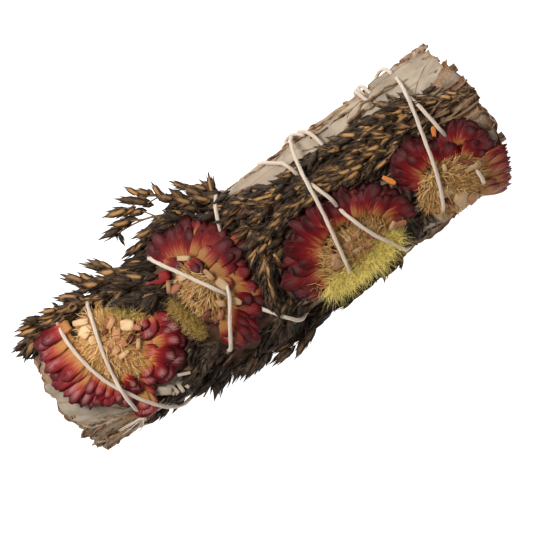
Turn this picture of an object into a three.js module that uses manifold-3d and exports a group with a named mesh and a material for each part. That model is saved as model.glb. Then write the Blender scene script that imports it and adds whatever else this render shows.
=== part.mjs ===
// Sage smudge stick: a roll of dried sage leaves with dark seed sprays, four halved strawflowers and
// tufts of yellow down laid along its upper side, all bound by one cotton string that winds to the right
// end and back. The stick lies along X on the plane z = 0. X runs towards the cut stalks, Y across the
// roll, and Z up. Everything is in millimetres.
import * as THREE from "three";
import { mergeVertices } from "three/addons/utils/BufferGeometryUtils.js";
import Module from "manifold-3d";

const wasm = await Module();
wasm.setup();

// The roll under its outer leaves, slimmer towards the left end and a little pressed
const LEFT_END = -61;
const RIGHT_END = 64;
const SLIM_HALF_WIDTH = 14.6;
const FULL_HALF_WIDTH = 18.9;
const FULL_FROM_X = 5;
const HEIGHT_SHARE = 0.8;
const AXIS_RISE = 0.35;
const EDGE_SHARE = 0.35;
const CORE_INSET = 1;
const CORE_SIDES = 16;
const CORE_SECTIONS = 4;

// The sage leaves pressed round the roll, in rows along it
const LEAF_ROWS_X = [-44, -16, 14, 42];
const LEAVES_AROUND = 5;
const LEAF_WIDTH = 22.5;
const LEAF_SHORTEST = 33.5;
const LEAF_LENGTH_RANGE = 8.6;
const LEAF_SHIFT = 6;
const LEAF_SKEW = 0.25;
const LEAF_SINK = 1.5;
const LEAF_TOP = 0.65;
const LEAF_OVERLAP_RISE = 0.15;
const LEAF_SHINGLE = 0.9;
const LEAF_WAVE = 0.3;
const LEAF_EDGE_WAVE = 0.13;
const LEAF_END_SHARE = 0.1;
const LEAF_ROUNDNESS = 0.7;
const LEAF_EDGE_WAVES = 2.5;
const LEAF_WAVES = 2;
const LEAF_WAVE_SLANT = 5;
const LEAF_SEED = 11;
const LEAF_STEPS_ALONG = 3;
const LEAF_STEPS_ACROSS = 2;

// Torn tips of inner leaves at both ends, in rings of this share of the roll's size, and cut stalks
const END_RINGS = [{ share: 0.88, count: 6 }, { share: 0.46, count: 3 }];
const END_LEAF_STATIONS = [-0.35, 0.6, 1];
const END_LEAF_REACH = 1.8;
const END_LEAF_REACH_RANGE = 3.4;
const END_LEAF_TAPER = 0.45;
const END_LEAF_CURL = 0.05;
const END_LEAF_CURL_RATES = [9, 3];
const END_LEAF_ROUGHNESS = 0.4;
const END_LEAF_STRAY = 0.7;
const END_LEAF_THICKNESS = 1;
const STALK_SUNK = 3;
const STALK_SIDES = 6;
const STALKS = [
  { share: 0.55, angle: 1.9, radius: 1.3, reach: 4.2 },
  { share: 0.35, angle: 0.4, radius: 1.6, reach: 3.4 },
  { share: 0.68, angle: -0.9, radius: 1.2, reach: 4.6 },
  { share: 0.5, angle: 2.9, radius: 1.5, reach: 3.0 },
  { share: 0.74, angle: 0.95, radius: 1.1, reach: 5.0 },
];

// What lies on the roll: the height it lies at, and the gap that neighbours keep
const BED = 1.9;
const CLEARANCE = 0.3;

// The cotton string's section, and the hump of its return run over its first one
const STRING_RADIUS = 0.6;
const STRING_SIDES = 4;
const STRING_STEPS = 180;
const STRING_POINTS = 340;
const STRING_LOWEST = STRING_RADIUS + 0.15;
const STRING_HUMP = 1.6;
const STRING_HUMP_REACH = 2.4;
const STRING_UNDERPASS = 2.4;
const ROLL_MEAN_RADIUS = 17;

// The string's route: x, angle round the roll in degrees from the top towards +Y, and height above the
// roll's surface. It winds the same way round all along, to the right end and then back.
const STRING_ROUTE = [
  [-52.5, 82, 4.5], [-52.8, 30, 6.4], [-51, 0, 6.3], [-48, -20, 6.2], [-44, -42, 5.6], [-40, -68, 3.2],
  [-36, -96, 2.3], [-31, -135, 2.3], [-28.5, 180, 0.6], [-26.5, 135, 2.3],
  [-24.6, 92, 3.0], [-22.8, 45, 6.3], [-18, 20, 6.3], [-13, -2, 6.2], [-8, -26, 6.3], [-3, -46, 6.0],
  [1, -70, 4.6], [4.5, -98, 2.3], [8, -135, 2.3], [10, 180, 0.6], [12, 135, 2.3],
  [14, 92, 2.3], [16.5, 62, 2.6], [19.5, 38, 6.0], [22, 12, 6.6], [25, -16, 6.5], [28, -38, 6.4],
  [31.5, -66, 4.6], [35.5, -97, 2.3], [40, -135, 2.3], [42.5, 180, 0.6], [44.5, 135, 2.3],
  [46, 92, 2.3], [49, 62, 1.5], [53.5, 32, 5.2], [55.5, 6, 6.2], [56.8, -20, 6.6], [57.4, -46, 6.2],
  [57, -70, 4.0], [56.6, -97, 2.3], [56.2, -135, 2.3], [55.8, 180, 0.6], [55.2, 135, 2.3],
  [54.4, 92, 2.3], [54.6, 52, 2.2], [52.9, 26, 6.2], [50.4, 2, 6.5], [47.8, -20, 6.4], [44.6, -42, 5.6],
  [42.4, -66, 3.0], [40.5, -96, 2.3], [36.5, -135, 2.3], [33.5, 180, 0.6], [31, 135, 2.3],
  [28.6, 92, 2.3], [29, 60, 0.6], [29.6, 20, 0.4], [30.2, -20, 0.4], [30.4, -60, 0.5], [29.6, -97, 2.3],
  [28.6, -135, 2.3], [27.6, 180, 0.6], [26.4, 135, 2.3],
  [25, 92, 2.3], [22.6, 55, 4.8], [20.6, 30, 6.4], [19.2, 6, 6.6], [17.6, -14, 6.5], [16, -34, 6.3],
  [15, -64, 4.8], [13.5, -97, 2.3], [10, -135, 2.3], [7, 180, 0.6], [4.5, 135, 2.3],
  [1.9, 92, 2.3], [-1.4, 55, 4.6], [-5, 34, 6.0], [-9, 14, 6.4], [-13, -6, 6.4], [-17, -22, 6.2],
  [-20.5, -42, 5.6], [-24, -68, 4.6], [-27, -97, 2.3], [-31.5, -135, 2.3], [-35.5, 180, 0.6],
  [-39, 135, 2.3],
  [-42, 92, 3.4], [-44.4, 42, 6.2], [-47, 14, 6.3], [-48.5, -8, 6.3], [-48.9, -30, 5.2], [-48.6, -52, 3.2],
];

// The knot at the string's end, and its frayed ends as x, angle and height
const KNOT_RADIUS = 1.2;
const FRAYED_RADIUS = 0.4;
const FRAYED_ENDS = [
  [[-52, -55, 2.6], [-55.5, -57, 1.9]],
  [[-45, -54, 3.0], [-41.5, -55, 2.4]],
  [[-50.5, -64, 2.4], [-53, -72, 1.8]],
];

// Strawflowers: a halved head pressed on the roll. p runs along X and q round the roll in the head's own
// plane, and out along its normal.
const FLOWERS = [
  { name: "strawflower_1", x: -44.6, y: 4, rp: 17, rq: 15, from: 96, to: 372, seed: 3 },
  { name: "strawflower_2", x: -15.4, y: 3.8, rp: 15, rq: 19, from: -112, to: 132, seed: 5 },
  { name: "strawflower_3", x: 19.2, y: -10, rp: 20, rq: 15.6, from: -16, to: 196, seed: 8 },
  { name: "strawflower_4", x: 52.2, y: -10, rp: 14.8, rq: 14.2, from: -62, to: 196, seed: 13 },
];
const HEAD_BEND = 26;
const HEAD_HEIGHT = 3;
const RECEPTACLE_SHARE = 0.5;
const RECEPTACLE_TOP = 1.6;
const DISC_SHARE = 0.35;
const DISC_TOP = 2.9;
const BRACT_ROWS = [
  { gap: 6.2, from: 0.36, to: 1.0, heights: [0.3, 1.1], width: 6.8 },
  { gap: 7.6, from: 0.38, to: 0.82, heights: [1.9, 2.7], width: 6.2 },
  { gap: 9.4, from: 0.4, to: 0.64, heights: [3.4, 3.4], width: 4.8 },
];
const BRACT_ROOT_HEIGHT = 0.4;
const BRACT_TIP_RISE = 0.3;
const BRACT_WIDEST_AT = 0.68;
const BRACT_ROOT_WIDTH = 0.25;
const BRACT_DISH = 0.1;
const BRACT_THICKNESS = 0.62;
const BRACT_LENGTHS = [0.94, 1.06];
const BRACT_WIDTHS = [0.9, 1.1];
const BRACT_LIFT = 0.05;
const BRACT_TWIST = 0.16;
const BRACT_STRAY = 0.3;
const BRACT_STAGGER = 0.25;
const PAD_SIDES = 10;
const PAD_LOW = 0.1;
const DISC_SIDES = 12;
const DISC_EDGE_RISE = 0.9;
const DISC_DIP = 0.4;
const DISC_RIDGE = 0.35;
const DISC_RIDGES = 5;

// Seed sprays: a stem, and pointed spikelets that lean off it towards its tip
const STEM_RADIUS = 0.65;
const SPIKELET_LENGTH = 7.2;
const SPIKELET_RADIUS = 1.25;
const SPIKELET_LENGTHS = [0.85, 1.15];
const SPIKELET_GIRTHS = [0.85, 1.1];
const SPIKELET_SPREADS = [0.75, 1.25];
const SPIKELET_WIDEST_AT = 0.55;
const SPIKELET_TIP_GROWTH = 1.5;
const SPRAY_SEED = 100;
const SPIKELET_SPREAD = 0.5;
const SPIKELET_TIP_SPREAD = 0.15;
const SPIKELET_SIDE_SWING = 1.75;
const LONG_STALKED = 2;
const BARE_STALK = 0.2;
const BARE_ROOT = 0.06;
const FREE_MARGIN = 1.5;

// Each stem's plan points and their height above the roll's upper side, from its root to its tip
const SPRAYS = [
  {
    name: "seed_spray_1",
    count: 15,
    route: [[67, 4, 3.4], [52, 8.5, 4], [38, 11, 4], [27, 14, 4], [20, 17, 3]],
  },
  {
    name: "seed_spray_2",
    count: 19,
    route: [[60, 3, 3.4], [44, 6.4, 3.6], [26, 8.2, 4], [8, 13, 4], [-1, 17.5, 3.4]],
  },
  {
    name: "seed_spray_3",
    count: 16,
    route: [[44, 3.4, 3.4], [28, 5, 3.8], [12, 6.6, 4], [2, 2, 4], [-3, -7, 4]],
  },
  {
    name: "seed_spray_4",
    count: 9,
    route: [[17, 11.6, 2], [8, 10.6, 2.4], [3.2, 5, 2.6], [2.6, -3, 2.6]],
  },
  {
    name: "seed_spray_5",
    count: 12,
    route: [[10, 16.6, 2.4], [2, 18.6, 2.4], [-6, 24, 0], [-13, 30, -1], [-18, 34, -2]],
  },
  {
    name: "seed_spray_6",
    count: 11,
    route: [[-2, 18.6, 0.6], [-10, 22.5, -2], [-18, 26.6, -4], [-26, 28.6, -5]],
  },
  {
    name: "seed_spray_7",
    count: 8,
    route: [[4, 17.8, -0.8], [1.2, 20.6, -2.4], [-3, 25.6, -3.4]],
  },
  {
    name: "seed_spray_8",
    count: 10,
    route: [[-2, 13, 2.8], [-11, 18.5, 1], [-20, 21.5, -1], [-24, 22.5, -2]],
  },
  {
    name: "seed_spray_9",
    count: 12,
    route: [[-21, 17, 0], [-30, 18.6, 1], [-36.5, 21.6, 0], [-41, 25.4, -1]],
  },
  {
    name: "seed_spray_10",
    count: 17,
    route: [[-25, 13.6, 3], [-36, 16, 3.4], [-47, 18.8, 2.2], [-56, 20, 1.2], [-61, 19.4, 1]],
  },
  {
    name: "seed_spray_11",
    count: 7,
    route: [[-22, 9.4, 3.4], [-28, 10, 3.8], [-34, 11.6, 4]],
  },
  {
    name: "seed_spray_12",
    count: 13,
    route: [[22, -18.4, 1], [10, -18.6, 0.6], [0, -20, 0], [-7, -22, -1], [-10.5, -22.6, -1.6]],
  },
  {
    name: "seed_spray_13",
    count: 13,
    route: [[4, -13, 3.6], [-4, -15, 3], [-14, -16.6, 2], [-25, -19, 0]],
  },
  {
    name: "seed_spray_14",
    count: 12,
    route: [[-18, -10, 3.4], [-29, -12, 3], [-38, -14.8, 1.4], [-44, -16, 1]],
  },
  {
    name: "seed_spray_15",
    count: 9,
    route: [[43, -14, 3], [36, -16, 2.4], [29, -19.4, 0.6], [25, -20.6, -0.4]],
  },
];

// Tufts of yellow down: plan points with heights, and needles that stand out of a slim core
const TUFTS = [
  {
    name: "down_tuft_1",
    core: 0.7,
    reach: 2.6,
    count: 10,
    route: [[-43.5, 12.6, 5.2], [-39.5, 10, 5.2], [-33, 7.4, 4.6]],
  },
  {
    name: "down_tuft_2",
    core: 1.2,
    reach: 3.2,
    count: 18,
    route: [[-25, 6.6, 4], [-24, 1, 4.2], [-24.5, -5, 4]],
  },
  {
    name: "down_tuft_3",
    core: 1.2,
    reach: 4.2,
    count: 32,
    route: [[7.5, -15.4, 5.6], [19, -16, 6], [31.5, -14, 5.8]],
  },
];
const NEEDLE_RADIUS = 0.8;
const NEEDLE_LEAN = 0.9;
const NEEDLE_REACHES = [0.7, 1.2];
const TUFT_SEED = 300;

// Single petals tucked in between: plan place, heading in degrees, size and lift
const LOOSE_PETALS = [
  {
    name: "orange_petal_1",
    colour: "orange",
    x: 37.4,
    y: -2.2,
    heading: -62,
    long: 4.4,
    wide: 1.9,
    lift: 5.4,
  },
  {
    name: "orange_petal_2",
    colour: "orange",
    x: 53.6,
    y: 2.4,
    heading: 70,
    long: 3.2,
    wide: 1.8,
    lift: 5.6,
  },
  {
    name: "red_petal",
    colour: "red",
    x: -25.4,
    y: 11.4,
    heading: 196,
    long: 6,
    wide: 3.4,
    lift: 7.6,
  },
];
const PETAL_HALF_THICKNESS = 0.35;
const PETAL_DISH = 0.5;
const PETAL_SLOPE = 0.4;
// Share of the length from the middle, and share of the full width there
const PETAL_STATIONS = [[-0.5, 0.4], [0, 1], [0.35, 0.7], [0.5, 0.2]];

const COLOURS = {
  string: "#d9c4b0",
  bracts: "#7e1f22",
  disc: "#c39a55",
  down: "#d3bf4e",
  spray: "#3b2d20",
  sage: "#a39c88",
  orange: "#e08a12",
  red: "#8c1216",
};
const ROUGHNESS = 0.8;

const GOLDEN_ANGLE = Math.PI * (3 - Math.sqrt(5));
const degrees = THREE.MathUtils.degToRad;
const lerp = THREE.MathUtils.lerp;
const WELD_DISTANCE = 1e-4;

function seeded(seed) {
  let state = seed;
  return () => {
    state = (state + 0x6d2b79f5) | 0;
    let mixed = Math.imul(state ^ (state >>> 15), 1 | state);
    mixed = (mixed + Math.imul(mixed ^ (mixed >>> 7), 61 | mixed)) ^ mixed;
    return ((mixed ^ (mixed >>> 14)) >>> 0) / 4294967296;
  };
}

function within([low, high], random) {
  return lerp(low, high, random());
}

// The turn that points a shape's own Y in a direction
function turnTo(direction) {
  return new THREE.Quaternion().setFromUnitVectors(new THREE.Vector3(0, 1, 0), direction);
}

// Half-width, half-height and axis height of the roll at x
function rollAt(x) {
  const share = THREE.MathUtils.smoothstep(x, LEFT_END, FULL_FROM_X);
  const half = lerp(SLIM_HALF_WIDTH, FULL_HALF_WIDTH, share);
  return { half, tall: half * HEIGHT_SHARE, axis: half * HEIGHT_SHARE + AXIS_RISE };
}

// The point at height above the roll's surface, where angle is 0 on top and grows towards +Y
function onRoll(x, angle, height) {
  const { half, tall, axis } = rollAt(x);
  const out = new THREE.Vector2(Math.sin(angle) / half, Math.cos(angle) / tall).normalize();
  return new THREE.Vector3(
    x,
    half * Math.sin(angle) + height * out.x,
    axis + tall * Math.cos(angle) + height * out.y,
  );
}

// Height of the roll's upper side below the plan point (x, y), levelling out past its edges
function topAt(x, y) {
  const { half, tall, axis } = rollAt(x);
  return axis + tall * Math.sqrt(Math.max(1 - (y / half) ** 2, EDGE_SHARE ** 2));
}

// A closed indexed geometry as a manifold solid
function solidOf(geometry) {
  const bare = geometry.clone();
  bare.deleteAttribute("normal");
  bare.deleteAttribute("uv");
  const merged = mergeVertices(bare, WELD_DISTANCE);
  const kept = [];
  const index = merged.index.array;
  for (let i = 0; i < index.length; i += 3) {
    const [a, b, c] = [index[i], index[i + 1], index[i + 2]];
    if (a !== b && b !== c && a !== c) kept.push(a, b, c);
  }
  return new wasm.Manifold(
    new wasm.Mesh({
      numProp: 3,
      vertProperties: new Float32Array(merged.attributes.position.array),
      triVerts: new Uint32Array(kept),
    }),
  );
}

function geometryOf(solid) {
  const mesh = solid.getMesh();
  return new THREE.BufferGeometry()
    .setAttribute("position", new THREE.BufferAttribute(new Float32Array(mesh.vertProperties), 3))
    .setIndex(new THREE.BufferAttribute(new Uint32Array(mesh.triVerts), 1));
}

// A closed slab between two grids of points, rows along and columns across
function slab(upper, lower) {
  const rows = upper.length;
  const columns = upper[0].length;
  const points = [...upper.flat(), ...lower.flat()];
  const at = (layer, i, j) => layer * rows * columns + i * columns + j;
  const faces = [];
  const quad = (a, b, c, d) => faces.push(a, b, c, a, c, d);
  for (let i = 0; i < rows - 1; i++)
    for (let j = 0; j < columns - 1; j++) {
      quad(at(0, i, j), at(0, i + 1, j), at(0, i + 1, j + 1), at(0, i, j + 1));
      quad(at(1, i, j), at(1, i, j + 1), at(1, i + 1, j + 1), at(1, i + 1, j));
    }
  const [lastRow, lastColumn] = [rows - 1, columns - 1];
  for (let i = 0; i < lastRow; i++) {
    quad(at(0, i, 0), at(1, i, 0), at(1, i + 1, 0), at(0, i + 1, 0));
    quad(at(0, i, lastColumn), at(0, i + 1, lastColumn), at(1, i + 1, lastColumn), at(1, i, lastColumn));
  }
  for (let j = 0; j < lastColumn; j++) {
    quad(at(0, 0, j), at(0, 0, j + 1), at(1, 0, j + 1), at(1, 0, j));
    quad(at(0, lastRow, j), at(1, lastRow, j), at(1, lastRow, j + 1), at(0, lastRow, j + 1));
  }
  return closedSolid(points, faces);
}

// The solid inside a closed mesh, whichever way round its faces were listed
function closedSolid(points, faces) {
  const positions = new THREE.Float32BufferAttribute(points.flatMap((point) => point.toArray()), 3);
  const bare = new THREE.BufferGeometry().setAttribute("position", positions);
  const build = (index) => solidOf(bare.clone().setIndex(index));
  const made = build(faces);
  return made.volume() > 0 ? made : build([...faces].reverse());
}

function union(solids) {
  return solids.reduce((whole, next) => whole.add(next));
}

// The largest piece of a solid, without the scraps that a cut left loose
function largest(solid) {
  return solid.decompose().reduce((best, next) => (next.volume() > best.volume() ? next : best));
}

// A tube of the given section radius along a curve, closed at both ends
function tube(curve, radius, sides, steps) {
  const section = new THREE.Shape(
    Array.from({ length: sides }, (_, k) => {
      const angle = (2 * Math.PI * k) / sides;
      return new THREE.Vector2(radius * Math.cos(angle), radius * Math.sin(angle));
    }),
  );
  return solidOf(new THREE.ExtrudeGeometry(section, { steps, extrudePath: curve }));
}

// A seed head's pointed bract: a three-sided spindle from its root towards direction
function spikelet(root, direction, length, radius, grow) {
  const profile = [
    new THREE.Vector2(0, -grow),
    new THREE.Vector2(radius + grow, length * SPIKELET_WIDEST_AT),
    new THREE.Vector2(0, length + SPIKELET_TIP_GROWTH * grow),
  ];
  const geometry = new THREE.LatheGeometry(profile, 3);
  geometry.applyQuaternion(turnTo(direction));
  geometry.translate(root.x, root.y, root.z);
  return solidOf(geometry);
}

// The roll of leaves

function core() {
  const ring = [];
  const faces = [];
  for (let i = 0; i <= CORE_SECTIONS; i++) {
    const x = lerp(LEFT_END, RIGHT_END, i / CORE_SECTIONS);
    for (let k = 0; k < CORE_SIDES; k++) ring.push(onRoll(x, (2 * Math.PI * k) / CORE_SIDES, -CORE_INSET));
  }
  for (let i = 0; i < CORE_SECTIONS; i++)
    for (let k = 0; k < CORE_SIDES; k++) {
      const [a, b] = [i * CORE_SIDES + k, i * CORE_SIDES + ((k + 1) % CORE_SIDES)];
      faces.push(a, b, b + CORE_SIDES, a, b + CORE_SIDES, a + CORE_SIDES);
    }
  for (const [end, offset] of [[LEFT_END, 0], [RIGHT_END, CORE_SECTIONS * CORE_SIDES]]) {
    const hub = ring.push(new THREE.Vector3(end, 0, rollAt(end).axis)) - 1;
    for (let k = 0; k < CORE_SIDES; k++) {
      const [a, b] = [offset + k, offset + ((k + 1) % CORE_SIDES)];
      if (offset) faces.push(hub, a, b);
      else faces.push(hub, b, a);
    }
  }
  return closedSolid(ring, faces);
}

// One leaf pressed round the roll, higher along one long edge than along the other
function wrappedLeaf(x, angle, length, skew, rise, random) {
  const phase = 2 * Math.PI * random();
  const upper = [];
  const lower = [];
  for (let i = 0; i <= LEAF_STEPS_ALONG; i++) {
    const u = i / LEAF_STEPS_ALONG;
    const px = x + (u - 0.5) * length;
    const meanRadius = (rollAt(px).half * (1 + HEIGHT_SHARE)) / 2;
    const outline = Math.sin(Math.PI * lerp(LEAF_END_SHARE, 1 - LEAF_END_SHARE, u)) ** LEAF_ROUNDNESS;
    const edge = LEAF_EDGE_WAVE * Math.sin(2 * Math.PI * LEAF_EDGE_WAVES * u + phase);
    const rowUp = [];
    const rowDown = [];
    for (let j = 0; j <= LEAF_STEPS_ACROSS; j++) {
      const v = j / LEAF_STEPS_ACROSS - 0.5;
      const spread = (v * LEAF_WIDTH * outline * (1 + Math.sign(v) * edge)) / meanRadius;
      const a = angle + skew * (u - 0.5) + spread;
      const wave = LEAF_WAVE * Math.sin(2 * Math.PI * LEAF_WAVES * u + LEAF_WAVE_SLANT * v + phase);
      rowUp.push(onRoll(px, a, LEAF_TOP + rise + LEAF_SHINGLE * v + wave));
      rowDown.push(onRoll(px, a, -LEAF_SINK));
    }
    upper.push(rowUp);
    lower.push(rowDown);
  }
  return slab(upper, lower);
}

// The torn tip of an inner leaf that stands out of an end of the roll
function endLeaf(end, outward, share, angle, spread, reach, random) {
  const upper = [];
  const lower = [];
  for (const u of END_LEAF_STATIONS) {
    const px = end + outward * reach * u;
    const rowUp = [];
    const rowDown = [];
    for (let j = 0; j <= LEAF_STEPS_ACROSS; j++) {
      const v = j / LEAF_STEPS_ACROSS - 0.5;
      const a = angle + v * spread * (1 - END_LEAF_TAPER * Math.max(u, 0));
      const { half, tall, axis } = rollAt(px);
      const [acrossRate, alongRate] = END_LEAF_CURL_RATES;
      const curl = Math.sin(acrossRate * v + alongRate * u) + END_LEAF_ROUGHNESS * random();
      const rim = share + END_LEAF_CURL * curl;
      const radial = new THREE.Vector3(0, Math.sin(a), Math.cos(a));
      const point = new THREE.Vector3(px, half * rim * Math.sin(a), axis + tall * rim * Math.cos(a));
      rowUp.push(point.clone().addScaledVector(radial, END_LEAF_THICKNESS / 2));
      rowDown.push(point.clone().addScaledVector(radial, -END_LEAF_THICKNESS / 2));
    }
    upper.push(rowUp);
    lower.push(rowDown);
  }
  return slab(upper, lower);
}

function stalk({ share, angle, radius, reach }) {
  const { half, tall, axis } = rollAt(RIGHT_END);
  const cylinder = new THREE.CylinderGeometry(radius, radius, reach + STALK_SUNK, STALK_SIDES);
  cylinder.rotateZ(Math.PI / 2);
  cylinder.translate(
    RIGHT_END + (reach - STALK_SUNK) / 2,
    half * share * Math.sin(angle),
    axis + tall * share * Math.cos(angle),
  );
  return solidOf(cylinder);
}

// Everything below the plane that the stick rests on
function groundBlock() {
  const depth = 10 * FULL_HALF_WIDTH;
  const block = new THREE.BoxGeometry(2 * (RIGHT_END - LEFT_END), depth, depth);
  block.translate(0, 0, -depth / 2);
  return solidOf(block);
}

function sageBunch() {
  const random = seeded(LEAF_SEED);
  const pieces = [core()];
  LEAF_ROWS_X.forEach((x, row) => {
    for (let k = 0; k < LEAVES_AROUND; k++) {
      const angle = ((k + 0.5 * (row % 2)) / LEAVES_AROUND) * 2 * Math.PI;
      const shift = LEAF_SHIFT * (random() - 0.5);
      const length = LEAF_SHORTEST + LEAF_LENGTH_RANGE * random();
      const rise = LEAF_OVERLAP_RISE * ((k + row) % 3);
      pieces.push(wrappedLeaf(x + shift, angle, length, LEAF_SKEW * (random() - 0.3), rise, random));
    }
  });
  for (const [end, outward] of [[LEFT_END, -1], [RIGHT_END, 1]])
    for (const { share, count } of END_RINGS)
      for (let k = 0; k < count; k++) {
        const spread = (2 * Math.PI) / count;
        const angle = spread * (k + END_LEAF_STRAY * random());
        const reach = END_LEAF_REACH + END_LEAF_REACH_RANGE * random();
        pieces.push(endLeaf(end, outward, share, angle, spread, reach, random));
      }
  return union([...pieces, ...STALKS.map(stalk)]).subtract(groundBlock());
}

// The route unwound flat: x, distance round the roll, height. Where the return run crosses the first
// run at about its own height it is humped over it, and where it is far below it runs underneath.
function stringPoints() {
  const turn = 2 * Math.PI * ROLL_MEAN_RADIUS;
  let wound = 0;
  const unwound = STRING_ROUTE.map(([x, angle, height], i) => {
    if (i > 0 && angle > STRING_ROUTE[i - 1][1]) wound += 360;
    return new THREE.Vector3(x, degrees(angle - wound) * ROLL_MEAN_RADIUS, height);
  });
  const route = new THREE.CatmullRomCurve3(unwound, false, "centripetal");
  const points = route.getSpacedPoints(STRING_POINTS);
  const turnPoint = points.reduce((best, p, i) => (p.x > points[best].x ? i : best), 0);
  return points.map((point, i) => {
    const lifted = point.clone();
    for (const other of i > turnPoint ? points.slice(0, turnPoint) : []) {
      const around = THREE.MathUtils.euclideanModulo(point.y - other.y + turn / 2, turn) - turn / 2;
      const apart = Math.hypot(point.x - other.x, around);
      const over = other.z + STRING_HUMP * (1 - (apart / STRING_HUMP_REACH) ** 2);
      if (other.z - point.z < STRING_UNDERPASS) lifted.z = Math.max(lifted.z, over);
    }
    return lifted;
  });
}

function stringCurve() {
  const points = stringPoints().map((p) => onRoll(p.x, p.y / ROLL_MEAN_RADIUS, p.z));
  for (const point of points) point.z = Math.max(point.z, STRING_LOWEST);
  return new THREE.CatmullRomCurve3(points, false, "centripetal");
}

function cottonString(grow) {
  const curve = stringCurve();
  const knotAt = curve.getPoint(1);
  const knot = new THREE.IcosahedronGeometry(KNOT_RADIUS + grow, 0);
  knot.translate(knotAt.x, knotAt.y, knotAt.z);
  const pieces = [tube(curve, STRING_RADIUS + grow, STRING_SIDES, STRING_STEPS), solidOf(knot)];
  for (const points of FRAYED_ENDS) {
    const end = points.map(([x, angle, height]) => onRoll(x, degrees(angle), height));
    const frayed = new THREE.CatmullRomCurve3([knotAt, ...end], false, "centripetal");
    pieces.push(tube(frayed, FRAYED_RADIUS + grow, 4, 4));
  }
  return union(pieces);
}

function headFrame(flower) {
  const { half, tall } = rollAt(flower.x);
  const angle = Math.asin(flower.y / (half + HEAD_HEIGHT));
  const out = new THREE.Vector3(0, Math.sin(angle) / half, Math.cos(angle) / tall).normalize();
  const along = new THREE.Vector3(1, 0, 0);
  const round = new THREE.Vector3().crossVectors(out, along);
  const origin = onRoll(flower.x, angle, BED);
  return (p, q, up) =>
    origin
      .clone()
      .addScaledVector(along, p)
      .addScaledVector(round, q)
      .addScaledVector(out, up - (q * q) / (2 * HEAD_BEND));
}

// A dished blade with two corners at its root, two at its widest part and one at its tip
function bract(place, flower, row, layer, angle, random, grow) {
  const reach = row.to * within(BRACT_LENGTHS, random) + grow / flower.rp;
  const lift = BRACT_LIFT * random();
  const twist = BRACT_TWIST * (random() - 0.5);
  const widest = row.width * within(BRACT_WIDTHS, random);
  const at = (u, v, height) => {
    const share = lerp(row.from - grow / flower.rp, reach, u);
    const a = angle + twist * u;
    const p = flower.rp * share * Math.cos(a) - v * Math.sin(a);
    const q = flower.rq * share * Math.sin(a) + v * Math.cos(a);
    const faces = [BRACT_THICKNESS / 2 + grow, -BRACT_THICKNESS / 2 - grow];
    return faces.map((offset) => place(p, q, height + lift + offset));
  };
  const half = widest / 2 + grow;
  const middle = row.heights[layer];
  const corners = [
    at(0, -half * BRACT_ROOT_WIDTH, middle * BRACT_ROOT_HEIGHT),
    at(0, half * BRACT_ROOT_WIDTH, middle * BRACT_ROOT_HEIGHT),
    at(BRACT_WIDEST_AT, half, middle + BRACT_DISH),
    at(1, 0, middle + BRACT_TIP_RISE),
    at(BRACT_WIDEST_AT, -half, middle + BRACT_DISH),
  ];
  return solidFan(corners, at(BRACT_WIDEST_AT, 0, middle));
}

// A closed blade between two fans of triangles that share one outline. Each point given is an upper and
// a lower one.
function solidFan(outline, hub) {
  const count = outline.length;
  const points = [...outline.map((pair) => pair[0]), hub[0], ...outline.map((pair) => pair[1]), hub[1]];
  const faces = [];
  const under = count + 1;
  for (let k = 0; k < count; k++) {
    const next = (k + 1) % count;
    faces.push(k, next, count, next + under, k + under, count + under);
    faces.push(k, k + under, next + under, k, next + under, next);
  }
  return closedSolid(points, faces);
}

// A round pad in the head's plane, its upper side given by height(share of its radius, angle)
function pad(place, flower, share, low, height, sides, rings, grow) {
  const faces = [];
  const points = [place(0, 0, height(0, 0) + grow), place(0, 0, low - grow)];
  for (const layer of [0, 1])
    for (let r = 1; r <= rings; r++)
      for (let k = 0; k < sides; k++) {
        const a = (2 * Math.PI * k) / sides;
        const s = r / rings;
        const [p, q] = [flower.rp * share + grow, flower.rq * share + grow].map((half) => half * s);
        const up = layer ? low - grow : height(s, a) + grow;
        points.push(place(p * Math.cos(a), q * Math.sin(a), up));
      }
  const at = (layer, r, k) => 2 + layer * rings * sides + (r - 1) * sides + (k % sides);
  for (let k = 0; k < sides; k++) {
    faces.push(0, at(0, 1, k), at(0, 1, k + 1), 1, at(1, 1, k + 1), at(1, 1, k));
    for (let r = 1; r < rings; r++) {
      faces.push(at(0, r, k), at(0, r + 1, k), at(0, r + 1, k + 1));
      faces.push(at(0, r, k), at(0, r + 1, k + 1), at(0, r, k + 1));
      faces.push(at(1, r, k), at(1, r + 1, k + 1), at(1, r + 1, k));
      faces.push(at(1, r, k), at(1, r, k + 1), at(1, r + 1, k + 1));
    }
    faces.push(at(0, rings, k), at(1, rings, k), at(1, rings, k + 1));
    faces.push(at(0, rings, k), at(1, rings, k + 1), at(0, rings, k + 1));
  }
  return closedSolid(points, faces);
}

function flowerBracts(flower, grow) {
  const random = seeded(flower.seed);
  const place = headFrame(flower);
  const pieces = [pad(place, flower, RECEPTACLE_SHARE, PAD_LOW, () => RECEPTACLE_TOP, PAD_SIDES, 1, grow)];
  const [from, to] = [degrees(flower.from), degrees(flower.to)];
  BRACT_ROWS.forEach((row, r) => {
    const radius = ((flower.rp + flower.rq) / 2) * row.to;
    const count = Math.round(((to - from) * radius) / row.gap);
    for (let k = 0; k < count; k++) {
      const shift = BRACT_STRAY * (random() - 0.5) + BRACT_STAGGER * (r % 2);
      const angle = lerp(from, to, (k + 0.5 + shift) / count);
      pieces.push(bract(place, flower, row, k % 2, angle, random, grow));
    }
  });
  return union(pieces);
}

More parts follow.
